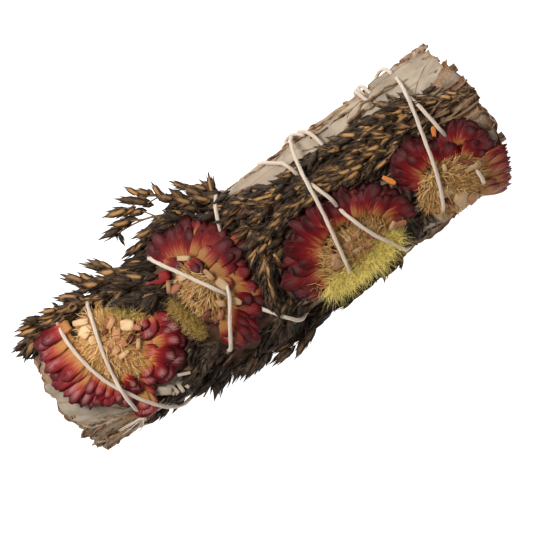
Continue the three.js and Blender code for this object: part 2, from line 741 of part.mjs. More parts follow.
function flowerDisc(flower, grow) {
  const place = headFrame(flower);
  const relief = (s, a) => {
    if (s === 0) return DISC_TOP - DISC_DIP;
    const ridge = DISC_RIDGE * Math.sin(DISC_RIDGES * (a + s));
    return lerp(DISC_TOP, RECEPTACLE_TOP + DISC_EDGE_RISE, s ** 3) + ridge;
  };
  return pad(place, flower, DISC_SHARE, RECEPTACLE_TOP + CLEARANCE, relief, DISC_SIDES, 2, grow);
}

function spray(item, index, grow) {
  const random = seeded(SPRAY_SEED + index);
  const points = item.route.map(([x, y, lift]) => new THREE.Vector3(x, y, topAt(x, y) + lift));
  const curve = new THREE.CatmullRomCurve3(points, false, "centripetal");
  const stemSteps = item.route.length + 1;
  const stem = curve.getSpacedPoints(stemSteps);
  const pieces = [tube(curve, STEM_RADIUS + grow, 3, stemSteps)];
  for (let k = 0; k < item.count; k++) {
    const u = lerp(index < LONG_STALKED ? BARE_STALK : BARE_ROOT, 1, (k + 0.6) / item.count);
    const step = Math.min(Math.floor(u * stemSteps), stemSteps - 1);
    const at = stem[step].clone().lerp(stem[step + 1], u * stemSteps - step);
    const ahead = stem[step + 1].clone().sub(stem[step]).normalize();
    const over = Math.abs(at.y) < rollAt(at.x).half + FREE_MARGIN;
    const side = new THREE.Vector3().crossVectors(ahead, new THREE.Vector3(0, 0, 1)).normalize();
    const up = new THREE.Vector3().crossVectors(side, ahead).normalize();
    const wheel = k * GOLDEN_ANGLE + random();
    const round = over ? SPIKELET_SIDE_SWING * Math.sin(wheel) : wheel;
    const radial = side.multiplyScalar(Math.sin(round)).addScaledVector(up, Math.cos(round));
    const atTip = k >= item.count - 2;
    const open = atTip ? SPIKELET_TIP_SPREAD : SPIKELET_SPREAD * within(SPIKELET_SPREADS, random);
    const lead = ahead.multiplyScalar(Math.cos(open));
    const direction = lead.addScaledVector(radial, Math.sin(open)).normalize();
    const length = SPIKELET_LENGTH * within(SPIKELET_LENGTHS, random);
    const radius = SPIKELET_RADIUS * within(SPIKELET_GIRTHS, random);
    pieces.push(spikelet(at, direction, length, radius, grow));
  }
  return union(pieces);
}

function tuft(item, index, grow) {
  const random = seeded(TUFT_SEED + index);
  const points = item.route.map(([x, y, lift]) => new THREE.Vector3(x, y, topAt(x, y) + lift));
  const curve = new THREE.CatmullRomCurve3(points, false, "centripetal");
  const pieces = [tube(curve, item.core + grow, 4, item.route.length)];
  for (let k = 0; k < item.count; k++) {
    const at = curve.getPoint((k + 0.5) / item.count);
    const round = k * GOLDEN_ANGLE;
    const lean = NEEDLE_LEAN * (random() - 0.5);
    const direction = new THREE.Vector3(lean, Math.sin(round), Math.cos(round)).normalize();
    const length = item.core + item.reach * within(NEEDLE_REACHES, random);
    const geometry = new THREE.ConeGeometry(NEEDLE_RADIUS + grow, length + 2 * grow, 3);
    geometry.translate(0, (length + 2 * grow) / 2, 0);
    geometry.applyQuaternion(turnTo(direction));
    geometry.translate(at.x, at.y, at.z);
    pieces.push(solidOf(geometry));
  }
  return union(pieces);
}

function loosePetal(item, grow) {
  const heading = degrees(item.heading);
  const ahead = new THREE.Vector2(Math.cos(heading), Math.sin(heading));
  const side = new THREE.Vector2(-ahead.y, ahead.x);
  const base = topAt(item.x, item.y) + item.lift;
  const upper = [];
  const lower = [];
  const half = PETAL_HALF_THICKNESS + grow;
  for (const [u, wide] of PETAL_STATIONS)
    for (const [list, offset] of [[upper, half], [lower, -half]])
      list.push(
        [-0.5, 0, 0.5].map((v) => {
          const span = v * (item.wide * wide + 2 * grow);
          const reach = u * (item.long + 2 * grow);
          return new THREE.Vector3(
            item.x + ahead.x * reach + side.x * span,
            item.y + ahead.y * reach + side.y * span,
            base + offset + PETAL_DISH * Math.abs(v) + PETAL_SLOPE * u,
          );
        }),
      );
  return slab(upper, lower);
}

// Each piece is cut clear of those listed before it
const maker = (name, colour, make) => ({ name, colour, make });
const MAKERS = [
  maker("cotton_string", "string", cottonString),
  ...FLOWERS.flatMap((flower) => [
    maker(flower.name, "bracts", (grow) => flowerBracts(flower, grow)),
    maker(flower.name + "_disc", "disc", (grow) => flowerDisc(flower, grow)),
  ]),
  ...TUFTS.map((item, i) => maker(item.name, "down", (grow) => tuft(item, i, grow))),
  ...LOOSE_PETALS.map((item) => maker(item.name, item.colour, (grow) => loosePetal(item, grow))),
  ...SPRAYS.map((item, i) => maker(item.name, "spray", (grow) => spray(item, i, grow))),
  maker("sage_bunch", "sage", sageBunch),
];

const smudgeStick = new THREE.Group();
const taken = [];
for (const { name, colour, make } of MAKERS) {
  const solid = largest(taken.reduce((left, other) => left.subtract(other), make(0)));
  const material = new THREE.MeshStandardMaterial({
    color: COLOURS[colour],
    roughness: ROUGHNESS,
    metalness: 0,
    flatShading: true,
  });
  const mesh = new THREE.Mesh(geometryOf(solid), material);
  mesh.name = name;
  smudgeStick.add(mesh);
  if (name !== "sage_bunch") taken.push(make(CLEARANCE));
}

export default smudgeStick;
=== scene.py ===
"""The looks of a sage smudge stick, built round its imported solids.

Lengths are in millimetres, in the solids' own frame, and become metres where a mesh is made. X runs along
the stick towards the cut stalks, Y across it, and Z up. A place on the roll is x, an angle round it from
the top towards +Y, and a height above its surface.
"""

import math
from collections import namedtuple

import bmesh
import bpy
import numpy as np
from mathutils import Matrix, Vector, geometry


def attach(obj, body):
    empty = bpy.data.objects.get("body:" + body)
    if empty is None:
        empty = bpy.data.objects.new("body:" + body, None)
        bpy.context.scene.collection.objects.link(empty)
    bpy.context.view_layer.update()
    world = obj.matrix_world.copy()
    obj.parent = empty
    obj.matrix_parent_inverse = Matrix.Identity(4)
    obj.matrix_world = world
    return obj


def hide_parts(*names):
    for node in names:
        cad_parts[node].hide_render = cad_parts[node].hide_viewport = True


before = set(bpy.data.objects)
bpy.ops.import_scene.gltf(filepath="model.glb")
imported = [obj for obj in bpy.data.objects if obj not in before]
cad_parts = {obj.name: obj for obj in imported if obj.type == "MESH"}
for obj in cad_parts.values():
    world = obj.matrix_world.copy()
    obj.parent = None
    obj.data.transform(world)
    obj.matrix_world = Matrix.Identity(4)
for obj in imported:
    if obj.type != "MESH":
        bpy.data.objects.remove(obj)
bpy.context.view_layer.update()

MM = 0.001
GOLDEN_ANGLE = math.pi * (3 - math.sqrt(5))
Z_AXIS = np.array([0.0, 0.0, 1.0])

# Seeds of the random draws; sprays, discs and tufts add their own number to theirs
LEAF_SEED = 21
TIP_SEED = 33
STALK_SEED = 41
SPRAY_SEED = 100
DISC_SEED = 60
TUFT_SEED = 300
STRING_SEED = 77

# The view: straight down, with the stick's left end turned towards the camera's lower left
VIEW_WIDTH = 137.5
VIEW_CENTRE = (-0.5, -1.6, 18)
VIEW_TURN = -36
LENS = 200
SENSOR = 36
# The light, in metres: one round lamp over a bright table
KEY_LIGHT = (-0.35, 0.5, 0.75)
KEY_SIZE = 0.4
KEY_POWER = 9.0
SKY_STRENGTH = 0.36
TABLE_SIZE = 6
TABLE_GLOW = 1.1

# The roll, as its solid has it
LEFT_END = -61
RIGHT_END = 64
SLIM_HALF_WIDTH = 14.6
FULL_HALF_WIDTH = 18.9
FULL_FROM_X = 5
HEIGHT_SHARE = 0.8
AXIS_RISE = 0.35
EDGE_SHARE = 0.35
BED = 1.9
HEAD_BEND = 26

# Sage leaves: rows of this many, laid along the roll one over the next
LEAF_ROWS = [(-42, 8), (-27, 7), (-10, 8), (8, 8), (25, 9), (41, 9)]
# Their sizes, the step from one margin to the other, and how little the ones on top are torn
LEAF_LENGTH = (36, 48)
LEAF_WIDTH = (13, 18)
LEAF_STEPS = (28, 12)
LEAF_THICKNESS = 0.3
LEAF_LIFT = (0.2, 0.7)
LEAF_REACH = 3.4
LEAF_HEIGHTS = (0.1, 2.4)
SHINGLE = 0.7
CALM = 0.4
LOWEST = 0.02
# How blunt a leaf ends that reaches the roll's left or right end, and one that doesn't
CUT_BLUNTNESS = (0.8, 0.85)
PLAIN_BLUNTNESS = 0.1
# A leaf's midrib, its pleats and how far its free margin curls up
RIB_DEPTH = 0.16
RIB_REACH = 0.04
PLEATS = 1.6
PLEAT_DEPTH = 0.9
CURL = 0.5
# Wrinkles, coarse before fine: their height, how many waves they are made of and how short these are
LEAF_TEAR = [(1.1, 4, 2.5), (0.4, 4, 9)]
TIP_TEAR = [(0.18, 4, 2.5), (0.08, 5, 9)]
TIP_CRUMPLE = [(0.045, 6, 3.5), (0.02, 6, 9)]
# Radii of the crinkled margins: the hidden one, the one on top and the one at a cut or torn end
HIDDEN_MARGIN = 0.16
TOP_MARGIN = (0.14, 0.3)
END_MARGIN = 0.3
MARGIN_HEIGHT = 1.3
# The finishes of the leaves, by their place in a piece's list
FELT, MARGIN, TORN, SHADED = range(4)
# The core, painted dark as shade inside the roll: how far it stays inside the ends and the leaves, and its
# sections
CORE_INSET = 3
CORE_SINK = 0.5
CORE_SECTIONS = 12
# How deep the inner leaves and cut stalks start inside the ends, and the sheets of the torn tips
END_DEPTH = 6
TIP_STEPS = (7, 20)
TIP_THICKNESS = 0.3
# Torn inner leaves at the ends, in rings: share of the roll's size, number, longest reach
END_RINGS = [
    (1.03, 7, 3.2), (0.92, 6, 3.8), (0.78, 6, 4), (0.64, 5, 3.6), (0.5, 4, 3.2), (0.36, 3, 2.8),
    (0.2, 2, 2.4),
]
# Cut stalks in the right end, near their solids: share of the roll's size, angle, radius, reach
CUT_STALKS = [
    (0.55, 1.9, 1.3, 4.2), (0.35, 0.4, 1.6, 3.4), (0.68, -0.9, 1.2, 4.6), (0.5, 2.9, 1.5, 3.0),
    (0.74, 0.95, 1.1, 5.0),
]
# Outermost leaves on the upper side: start, end, angle at both in degrees, width, height
TOP_LEAVES = [
    (-63.8, -30, 4, 10, 15, 1.1), (-62.6, -34, -38, -30, 14, 1.2), (-63, -36, 44, 40, 15, 1.0),
    (-61.6, -38, -66, -60, 12, 0.9), (-64.6, -44, 6, -34, 11, 2.0), (-63.2, -47, -20, -44, 7, 1.6),
    (-62.6, -48, -34, -52, 7, 1.3), (2, 36, 62, 70, 15, 1.2), (24, 58, 70, 58, 14, 1.5),
    (38, 65.5, 42, 36, 17, 1.3), (44, 67, 8, 14, 15, 1.0), (30, 64, -62, -52, 16, 1.1),
    (46, 66.5, -24, -18, 14, 1.2), (-8, 22, 84, 90, 15, 1.0), (48, 63.2, 72, 66, 10, 1.9),
    (46, 65, 46, 40, 15, 2.0), (55, 65.4, 26, 44, 6, 2.4),
]
# Browned inner leaves that stand out of the ends, given the same way
BROWN_LEAVES = [
    (58, 67.4, 14, 22, 12, 2.0), (59, 65.4, 76, 70, 8, 2.1), (54, 67.2, -10, 2, 13, 2.0),
    (-62.6, -50, -46, -56, 8, 1.0), (-61.6, -48, -56, -62, 9, 1.4), (-63.6, -56, 34, 42, 11, 1.9),
    (-61, -46, -70, -74, 9, 1.4), (33, 47, -62, -66, 9, 1.6),
]
# Leaves under the sprays and flowers, coloured dark as painted shade, given the same way
SHADED_LEAVES = [
    (-34, -4, 2, 0, 16, 1.5), (-33, -3, 46, 48, 15, 1.3), (-33, 0, -46, -48, 16, 1.4),
    (-6, 16, 6, -8, 15, 1.5), (0, 34, 26, 22, 13, 1.5), (28, 62, 20, 14, 13, 2.0),
    (22, 36, -40, -44, 14, 1.4), (-26, -4, -66, -64, 10, 1.8),
]
# Scraps of leaf over the sprays: plan place, heading in degrees, length, width, lift
SCRAPS = [
    (-41.4, -11.2, -36, 6.4, 2.2, 4.0), (-38.2, -12.9, -80, 3.6, 1.5, 4.4),
    (-36.4, -13.2, -92, 3.8, 1.1, 4.6), (-35.2, -13.4, -72, 3.4, 1.0, 4.4),
    (-39.8, -12.4, -58, 4.2, 1.0, 4.6), (-33.6, -11.4, -24, 3.4, 0.8, 4.6),
    (43.6, -16.4, -80, 3.6, 3.4, 3.4), (46.0, -17.0, -86, 3.2, 3.2, 3.2), (39.6, -16.4, 80, 3.4, 3.0, 3.2),
]
# Crumpled brown margins: start, end, angle at both in degrees, radius
MARGINS = [
    (20, 48, 84, 70, 0.6), (28, 61, 64, 71, 0.5), (34, 65, 76, 60, 0.6), (44, 66, 66, 71, 0.7),
    (52, 66, 76, 82, 0.8), (24, 52, 78, 76, 0.5), (40, 64, 80, 74, 0.5), (28, 50, 73, 66, 0.4),
    (46, 64, 62, 66, 0.5), (2, 24, 86, 80, 0.4), (8, 32, 76, 84, 0.4), (50, 66, 30, 50, 0.5),
    (56, 66.5, 24, 36, 0.5), (36, 54, 46, 58, 0.7), (-64, -56, 20, 34, 0.42), (-63.4, -47, -8, -44, 0.22),
    (-62.8, -50, -24, -52, 0.26), (-61.5, -50, -44, -58, 0.5), (-60, -46, -56, -66, 0.6),
]
# Thin stalks lying on the right end: start, end, angle at both in degrees, radius
LYING_STALKS = [
    (37.5, 47, 46, 54, 0.5), (46, 54, 54, 52, 0.4), (24, 42, 12, 9, 0.3), (26, 40, 4, 8, 0.3),
    (50, 67, 8, 12, 0.36), (54, 68.4, 14, 20, 0.42), (52, 67.6, 22, 8, 0.34), (57, 68, 4, 6, 0.4),
    (46, 63, 20, 26, 0.32), (49, 66, 28, 23, 0.36), (51, 67, 6, 1, 0.34), (58, 67.6, -1, 2, 0.3),
    (55, 66.4, 10, 14, 0.3), (61, 67, -4, -6, 0.3),
]
STALK_LIFT = 3.0
# The ring of a stem cut across: plan place, height over the roll, radius
HOLLOW_STALK = (-47, 19.2, 4.4, 1.0)

# The cotton string, and how it rises over its own first run
ROLL_MEAN_RADIUS = 17
STRING_RADIUS = 0.6
STRING_POINTS = 340
STRING_LOWEST = STRING_RADIUS + 0.15
STRING_HUMP = 1.6
STRING_HUMP_REACH = 2.4
STRING_UNDERPASS = 2.4
# Its plies, the knot's rings, and the fibres of its frayed ends and its fuzz
PLIES = 3
PLY_RADIUS = 0.84 * STRING_RADIUS
PLY_GROOVE = 0.09
PLY_TWIST = 0.3
CORD_SIDES = 12
CORD_POINTS = 1500
KNOT_RADIUS = 0.62
KNOT_STRING = 0.52
FIBRES = 16
FIBRE_STEPS = 10
FUZZ = 1000
FUZZ_LENGTHS = (0.15, 0.7)
FUZZ_RADIUS = 0.03
# Its route, near its solid's: x, angle in degrees and height above the roll, each turn on new lines
STRING_ROUTE = [
    (-52.5, 82, 4.5), (-52.8, 30, 6.4), (-51, 0, 6.3), (-48, -20, 6.2), (-44, -42, 5.6), (-40, -68, 3.2),
    (-36, -96, 1.6), (-31, -135, 1.4), (-28.5, 180, 0.6), (-26.5, 135, 1.6),
    (-24.6, 92, 1.4), (-24.2, 72, 1.0), (-23.5, 57, 4.4), (-22.8, 45, 6.3), (-18, 20, 6.3), (-14, 2, 6.0),
    (-11.4, -10, 2.2), (-8.6, -24, 2.4), (-5.6, -34, 4.8), (-1.8, -50, 4.6), (1.0, -64, 0.4),
    (4.5, -98, 1.0), (8, -135, 1.0), (10, 180, 0.6), (12, 135, 1.6),
    (13.4, 92, 2.0), (16.5, 62, 2.4), (18.8, 44, 4.6), (20, 32, 1.6), (21, 19, 6.4), (22.6, 6, 6.4),
    (23, -2, 3.2), (23.6, -9, 6.2), (26, -26, 6.6), (29, -42, 6.2), (31, -60, 3.4), (33, -74, 0.8),
    (35.5, -97, 0.2), (40, -135, 1.0), (42.5, 180, 0.6), (44, 135, 1.8),
    (44.6, 92, 2.6), (44.7, 70, 3.0), (45.2, 58, 2.2), (48, 48, 0.6), (53, 38, 2.0), (54.2, 24, 6.0),
    (55, 4, 6.2), (55.8, -8, 2.4), (56.6, -28, 2.4), (56.9, -40, 5.8), (56.2, -56, 2.2), (55.2, -92, 0.2),
    (55.8, -135, 1.0), (55.8, 180, 0.6), (55.2, 135, 1.8),
    (54.6, 92, 2.3), (54.6, 52, 2.2), (53.1, 26, 6.2), (50.4, 2, 6.5), (47.8, -20, 6.4), (44.6, -42, 5.4),
    (43, -56, 1.4), (40.5, -96, 0.2), (36.5, -135, 1.0), (33.5, 180, 0.6), (31, 135, 1.6),
    (26.6, 92, 2.6), (27.8, 70, 3.2), (28.9, 55, 3.2), (29.4, 40, 1.2), (29.6, 20, 0.4), (30.2, -20, 0.4),
    (30.4, -60, 0.5), (29.6, -97, 1.0), (28.6, -135, 1.0), (27.6, 180, 0.6), (26.4, 135, 1.8),
    (25, 92, 2.3), (22.6, 55, 4.8), (20.6, 30, 6.4), (19.2, 6, 6.6), (17.6, -14, 6.5), (16, -36, 6.0),
    (15, -56, 2.6), (13.5, -97, 1.0), (10, -135, 1.0), (7, 180, 0.6), (4.5, 135, 1.4),
    (1.9, 92, 1.6), (-0.8, 60, 4.6), (-3, 44, 5.8), (-5.4, 34, 1.4), (-9, 14, 0.8), (-11.4, 1, 1.4),
    (-12.6, -6, 6.2), (-17, -22, 6.2), (-20.2, -38, 4.4), (-21.4, -47, 0.8), (-24, -68, 1.0),
    (-27, -97, 1.0), (-31.5, -135, 1.0), (-35.5, 180, 0.6), (-39, 135, 1.6),
    (-42, 92, 2.6), (-44.4, 42, 6.2), (-47, 14, 6.3), (-48.5, -8, 6.3), (-48.9, -30, 5.2),
    (-48.6, -52, 3.2),
]
# Its loops that show at the stick's upper side, their ends tucked under the leaves
STRING_LOOPS = [
    [(46.0, 56, 0.8), (45.4, 74, 2.8), (46.0, 90, 3.0), (46.8, 74, 3.0), (47.3, 54, 1.0)],
    [(50.2, 84, 0.6), (51.2, 90, 2.4), (53.2, 92, 3.2), (54.2, 80, 3.0), (54.6, 66, 2.6)],
    [(22.0, 84, 1.0), (22.6, 91, 2.8), (24.0, 92, 3.2), (25.4, 84, 3.0), (27.2, 72, 2.2)],
]
# Its frayed ends, on from the knot
FRAYED_ENDS = [
    [(-52, -55, 2.6), (-55.5, -57, 1.9)],
    [(-45, -54, 3.0), (-41.5, -55, 2.4)],
    [(-50.5, -64, 2.4), (-53, -72, 1.8)],
]

# Strawflowers: halved heads pressed on the roll. Each bract is its root and tip in plan, its width and how
# deeply it is coloured, from gold to night, the deepest partly painted shade of hollows and shadowed
# bracts.
# The whorl is the plan point that the straws of the centre lie round, the disc their middle and half-sizes.
# A
# shaving is a bract cut short: plan place, heading in degrees, length, width and colour, from cream over
# tan and rose to night, the darkest partly painted shade of a hollow. The light is how bright a flower's
# colours are, partly their own colour and partly painted shade, and blunt the share of its bracts that end
# round.
Flower = namedtuple("Flower", "x y seed light blunt bracts whorl disc shavings")
FLOWERS = [
    Flower(-44.6, 4, 3, 1.0, 0.6, [
        (-51.6, 16.0, -60.6, 16.6, 3.6, 0.78), (-52.6, 13.2, -61.0, 12.9, 3.9, 0.55),
        (-52.2, 9.6, -62.2, 10.0, 4.0, 0.62), (-52.4, 6.6, -62.4, 5.6, 4.2, 0.55),
        (-52.6, 4.4, -61.8, 1.8, 3.4, 0.58), (-52.4, 2.8, -61.0, -0.6, 3.0, 0.68),
        (-51.4, 1.6, -59.4, -2.8, 3.4, 0.72), (-50.8, -0.2, -57.0, -4.8, 3.6, 0.66),
        (-50.0, -1.6, -54.0, -7.0, 3.8, 0.66), (-49.4, -2.6, -51.4, -7.8, 3.0, 0.74),
        (-49.2, -3.6, -50.2, -10.0, 2.6, 0.85), (-47.8, -4.6, -48.4, -10.8, 2.6, 0.85),
        (-46.4, -5.4, -42.4, -11.4, 3.0, 0.34), (-45.6, -9.6, -47.6, -14.8, 5.0, 0.5),
        (-46.2, -3.6, -45.4, -8.8, 3.4, 1.0), (-36.4, -3.6, -30.8, -8.2, 4.6, 1.0),
        (-37.4, -4.0, -34.2, -10.2, 4.8, 0.9), (-38.6, -4.2, -37.0, -11.0, 5.4, 0.84),
        (-41.2, -3.2, -41.4, -8.8, 5.4, 0.5), (-33.0, 4.0, -26.4, 1.6, 4.0, 0.76),
        (-33.6, 0.6, -26.6, -1.0, 3.8, 0.84), (-34.4, -1.2, -27.6, -5.0, 4.8, 0.74),
        (-39.4, -0.6, -32.4, -4.4, 5.4, 0.46), (-34.4, 6.8, -35.4, 0.8, 4.8, 0.76),
    ], (-43.5, 6.5), (-44.6, 5.4, 6.8, 9.6), [
        (-47.3, 12.4, 28, 4.2, 3.0, 0.0), (-47.4, 14.8, -30, 4.0, 1.8, 0.12),
        (-47.4, 9.2, 80, 2.4, 2.2, 0.1), (-38.0, 7.2, -38, 3.4, 3.2, 0.0), (-41.4, 7.2, 60, 3.6, 2.6, 0.4),
        (-41.0, 10.0, 30, 3.4, 1.6, 0.3), (-43.6, 9.0, 10, 2.0, 1.2, 0.85), (-39.2, 3.8, 30, 2.6, 1.6, 0.9),
        (-43.6, 6.0, 24, 3.0, 2.2, 0.36), (-41.6, 4.6, 80, 3.4, 2.6, 0.45), (-44.4, 3.6, 0, 3.2, 1.8, 0.3),
        (-43.0, 1.6, 8, 3.4, 1.4, 0.15), (-38.4, 1.6, 50, 3.0, 1.2, 0.25), (-36.4, 5.4, -50, 2.6, 1.6, 0.5),
        (-45.8, 5.2, 100, 2.4, 1.2, 0.3),
    ]),
    Flower(-15.4, 3.8, 5, 0.7, 0.35, [
        (-11.4, -4.0, -6.2, -9.6, 4.6, 0.95), (-12.6, -5.0, -8.2, -11.0, 4.0, 0.9),
        (-6.8, -5.2, -2.0, -6.6, 2.2, 0.55), (-10.0, 3.4, -3.8, 2.6, 3.0, 0.66),
        (-9.8, 0.8, -4.2, -0.4, 3.6, 0.62), (-9.6, -1.8, -5.4, -4.4, 3.4, 0.66),
        (-18.4, -7.6, -18.9, -12.8, 2.4, 0.45), (-17.8, -7.0, -16.4, -15.0, 2.8, 0.55),
        (-17.0, -6.2, -13.2, -15.8, 3.2, 0.6), (-16.2, -5.4, -11.2, -14.2, 3.2, 0.6),
        (-15.4, -4.6, -10.2, -11.6, 3.2, 0.58), (-14.8, -3.6, -8.4, -9.8, 3.8, 0.54),
        (-13.4, -1.4, -6.6, -7.4, 4.8, 0.36), (-13.6, 2.2, -6.8, -1.4, 4.6, 0.14),
        (-20.8, 14.6, -21.2, 21.4, 2.8, 0.95), (-18.6, 14.4, -18.8, 23.0, 3.0, 0.88),
        (-16.4, 14.2, -14.6, 21.0, 3.0, 0.88), (-15.2, 13.6, -12.6, 20.8, 2.6, 0.92),
        (-13.8, 12.8, -9.4, 20.8, 3.8, 0.82), (-10.6, 14.0, -7.2, 18.6, 2.0, 0.4),
        (-12.8, 12.4, -6.6, 16.8, 3.0, 0.84), (-12.4, 11.4, -4.6, 14.8, 3.2, 0.8),
        (-11.8, 9.6, -2.8, 12.0, 3.8, 0.78), (-11.6, 8.0, -3.4, 9.2, 3.4, 0.84),
        (-5.4, 8.4, 0.8, 8.2, 2.0, 0.5), (-17.2, -2.2, -21.6, -4.0, 2.2, 0.85),
        (-17.4, -2.8, -19.8, -6.4, 2.4, 0.85), (-12.6, 4.6, -7.4, 4.0, 3.6, 0.3),
        (-13.4, 0.8, -8.6, -0.6, 3.8, 0.05), (-12.6, 9.4, -9.0, 11.4, 3.2, 0.4),
        (-20.6, 13.9, -17.4, 11.0, 2.9, 1.0), (-16.0, 10.6, -14.4, 6.2, 3.4, 1.0),
        (-8.8, 5.8, -3.0, 5.5, 3.2, 1.0),
    ], (-14, 3.5), (-17.6, 3.2, 3.8, 6.8), [
        (-16.8, 4.6, -40, 4.0, 2.4, 0.18), (-19.2, 8.6, -20, 2.6, 1.8, 0.05),
        (-17.6, 6.6, -60, 3.0, 1.6, 0.4), (-22.4, 7.4, 200, 3.0, 1.8, 0.5),
        (-23.6, 8.8, 60, 3.4, 1.2, 0.35), (-19.4, 2.4, 30, 2.2, 1.6, 0.85),
        (-20.8, 4.4, 140, 2.2, 1.6, 0.65), (-18.0, 0.4, 10, 2.6, 1.8, 0.35),
        (-19.6, -2.6, 190, 3.0, 1.8, 0.8), (-15.6, -2.2, -40, 3.4, 1.8, 0.2),
        (-16.2, 12.4, -34, 3.6, 1.4, 0.05), (-17.0, -4.6, 220, 2.6, 1.6, 0.5),
        (-12.2, 1.4, -80, 3.4, 2.6, 0.1), (-12.0, -4.0, -58, 3.4, 2.0, 0.15),
        (-13.6, 5.2, 100, 3.6, 1.6, 0.25),
    ]),
    Flower(19.2, -10, 8, 0.68, 0.4, [
        (9.4, -13.2, 2.8, -15.0, 3.6, 0.7), (9.8, -11.4, 0.0, -11.0, 3.4, 0.7),
        (9.6, -9.4, -0.4, -8.2, 4.6, 0.76), (11.0, -7.6, 3.2, -5.8, 4.6, 0.9),
        (12.2, -6.4, 2.2, -3.0, 3.4, 0.66), (12.6, -5.6, 5.2, -0.8, 4.4, 0.96),
        (13.6, -4.6, 8.4, 1.0, 4.2, 0.86), (14.8, -4.0, 10.6, 5.2, 4.2, 0.88),
        (16.0, -3.6, 13.8, 3.4, 3.2, 0.98), (17.4, -3.4, 17.0, 4.8, 3.6, 0.86),
        (18.8, -3.4, 19.6, 4.6, 3.4, 0.88), (20.6, -3.4, 21.2, 2.6, 3.6, 0.92),
        (22.2, -3.6, 23.2, 1.0, 3.4, 0.84), (23.6, -3.8, 24.2, 4.2, 3.4, 0.96),
        (25.0, -4.0, 27.0, 3.6, 3.6, 0.95), (25.8, -4.4, 28.8, 1.4, 4.0, 0.7),
        (27.2, -4.8, 31.6, 1.2, 3.6, 0.92), (28.4, -5.4, 34.8, -0.8, 4.0, 0.9),
        (29.6, -6.2, 36.4, -3.0, 3.8, 0.86), (30.4, -7.2, 38.0, -5.6, 4.2, 0.86),
        (31.2, -8.4, 38.8, -8.8, 4.2, 0.8), (31.6, -9.8, 39.2, -11.4, 3.4, 0.76),
        (31.4, -11.2, 38.4, -12.6, 2.4, 0.7),
    ], (20, -16), (20.4, -10.4, 8.6, 4.4), [
        (20.2, -8.2, 0, 1.6, 1.4, 0.0), (22.6, -8.6, 10, 3.0, 1.8, 0.35), (18.8, -9.4, -20, 2.6, 1.8, 0.3),
        (14.6, -11.2, 60, 4.0, 3.4, 0.22), (25.2, -10.2, -50, 3.4, 2.0, 0.65),
        (20.4, -11.8, -10, 4.6, 1.2, 0.2), (15.6, -8.2, 80, 2.2, 1.4, 0.95),
        (26.8, -11.6, -60, 3.0, 1.4, 0.3), (23.0, -12.0, -30, 3.6, 1.4, 0.45),
        (33.4, -12.8, -10, 3.0, 1.6, 0.5), (31.2, -12.0, 20, 2.6, 1.2, 0.15),
    ]),
    Flower(52.2, -10, 13, 0.72, 0.45, [
        (44.4, -7.4, 38.2, -5.8, 3.6, 0.74), (44.6, -6.0, 38.4, -3.4, 4.6, 0.95),
        (45.0, -5.2, 39.4, -0.4, 4.2, 0.88), (45.4, -4.6, 40.8, 2.2, 4.0, 0.92),
        (46.2, -4.2, 43.2, 3.2, 3.8, 0.98), (47.0, -4.0, 46.0, 4.0, 3.6, 0.88),
        (47.8, -4.4, 48.4, 2.8, 3.8, 0.95), (55.4, -18.8, 62.0, -20.4, 1.6, 0.28),
        (55.8, -18.0, 63.4, -19.8, 1.8, 0.34), (56.2, -17.2, 64.0, -18.8, 1.7, 0.3),
        (56.6, -16.4, 64.8, -17.8, 1.8, 0.4), (57.0, -15.6, 65.2, -16.6, 1.7, 0.34),
        (57.2, -14.8, 65.8, -15.4, 1.8, 0.42), (57.4, -14.0, 66.2, -14.2, 1.8, 0.36),
        (57.6, -13.2, 66.6, -13.2, 1.8, 0.44), (57.6, -12.2, 66.8, -12.0, 2.2, 0.5),
        (57.8, -10.8, 64.8, -9.8, 4.4, 0.97), (58.8, -5.6, 63.8, -3.2, 4.0, 0.98),
        (58.2, -5.0, 61.8, -0.6, 3.6, 0.96), (57.4, -4.6, 59.8, 0.6, 4.0, 0.96),
        (57.8, -9.0, 65.0, -6.4, 6.4, 0.86), (51.6, -6.4, 52.2, -0.4, 3.8, 0.84),
        (53.8, -7.8, 55.8, 1.3, 6.4, 0.88),
    ], (47, -8), (49.6, -12.4, 8.4, 5.8), [
        (47.6, -13.0, -12, 4.8, 2.8, 0.02), (49.8, -16.6, 20, 4.4, 3.6, 0.04),
        (46.6, -15.6, -60, 3.0, 1.6, 0.8), (56.6, -11.9, -2, 4.6, 1.3, 0.08),
        (55.8, -9.8, -44, 4.0, 1.2, 0.75), (52.2, -18.4, 10, 3.4, 2.4, 0.3),
        (50.4, -8.0, 70, 2.2, 1.2, 0.05),
    ]),
]
# A bract: heights of its root and tip, how far it is tucked in and widened past its outline, its strays
BRACT_HEIGHTS = (1.7, 1.9)
STUB_RISE = 1.0
NEXT_RISE = 0.25
BRACT_TUCK = 0.16
BRACT_OVERLAP = 1.16
BRACT_WIDTHS = (0.9, 1.1)
BRACT_WALL = 0.05
BRACT_TILT = 0.17
BRACT_BEND = 0.6
TIP_STRAY = 0.35
TILT_STRAY = (-0.09, 0.06)
DEPTH_STRAY = (-0.12, 0.08)
# The two darker ones under it: how much lower, turned aside, shorter, slimmer and deeper in colour
UNDER_DROP = 0.75
UNDER_TURN = 0.22
UNDER_REACH = (0.8, 1.0)
UNDER_WIDTH = 0.9
UNDER_DEPTH = 0.18
# A shorter bract over this share of them: where its tip lies on the one below, its width and its lift
INNER_SHARE = 0.55
INNER_REACH = (0.55, 0.86)
INNER_STRAY = 0.3
INNER_WIDTH = 0.8
INNER_LIFTS = (0.5, 0.35)
# A head's outline leaves out bracts slimmer than this, and husks reach into it by this much at most
STRAY_WIDTH = 2.3
HEAD_RIM = 1.0
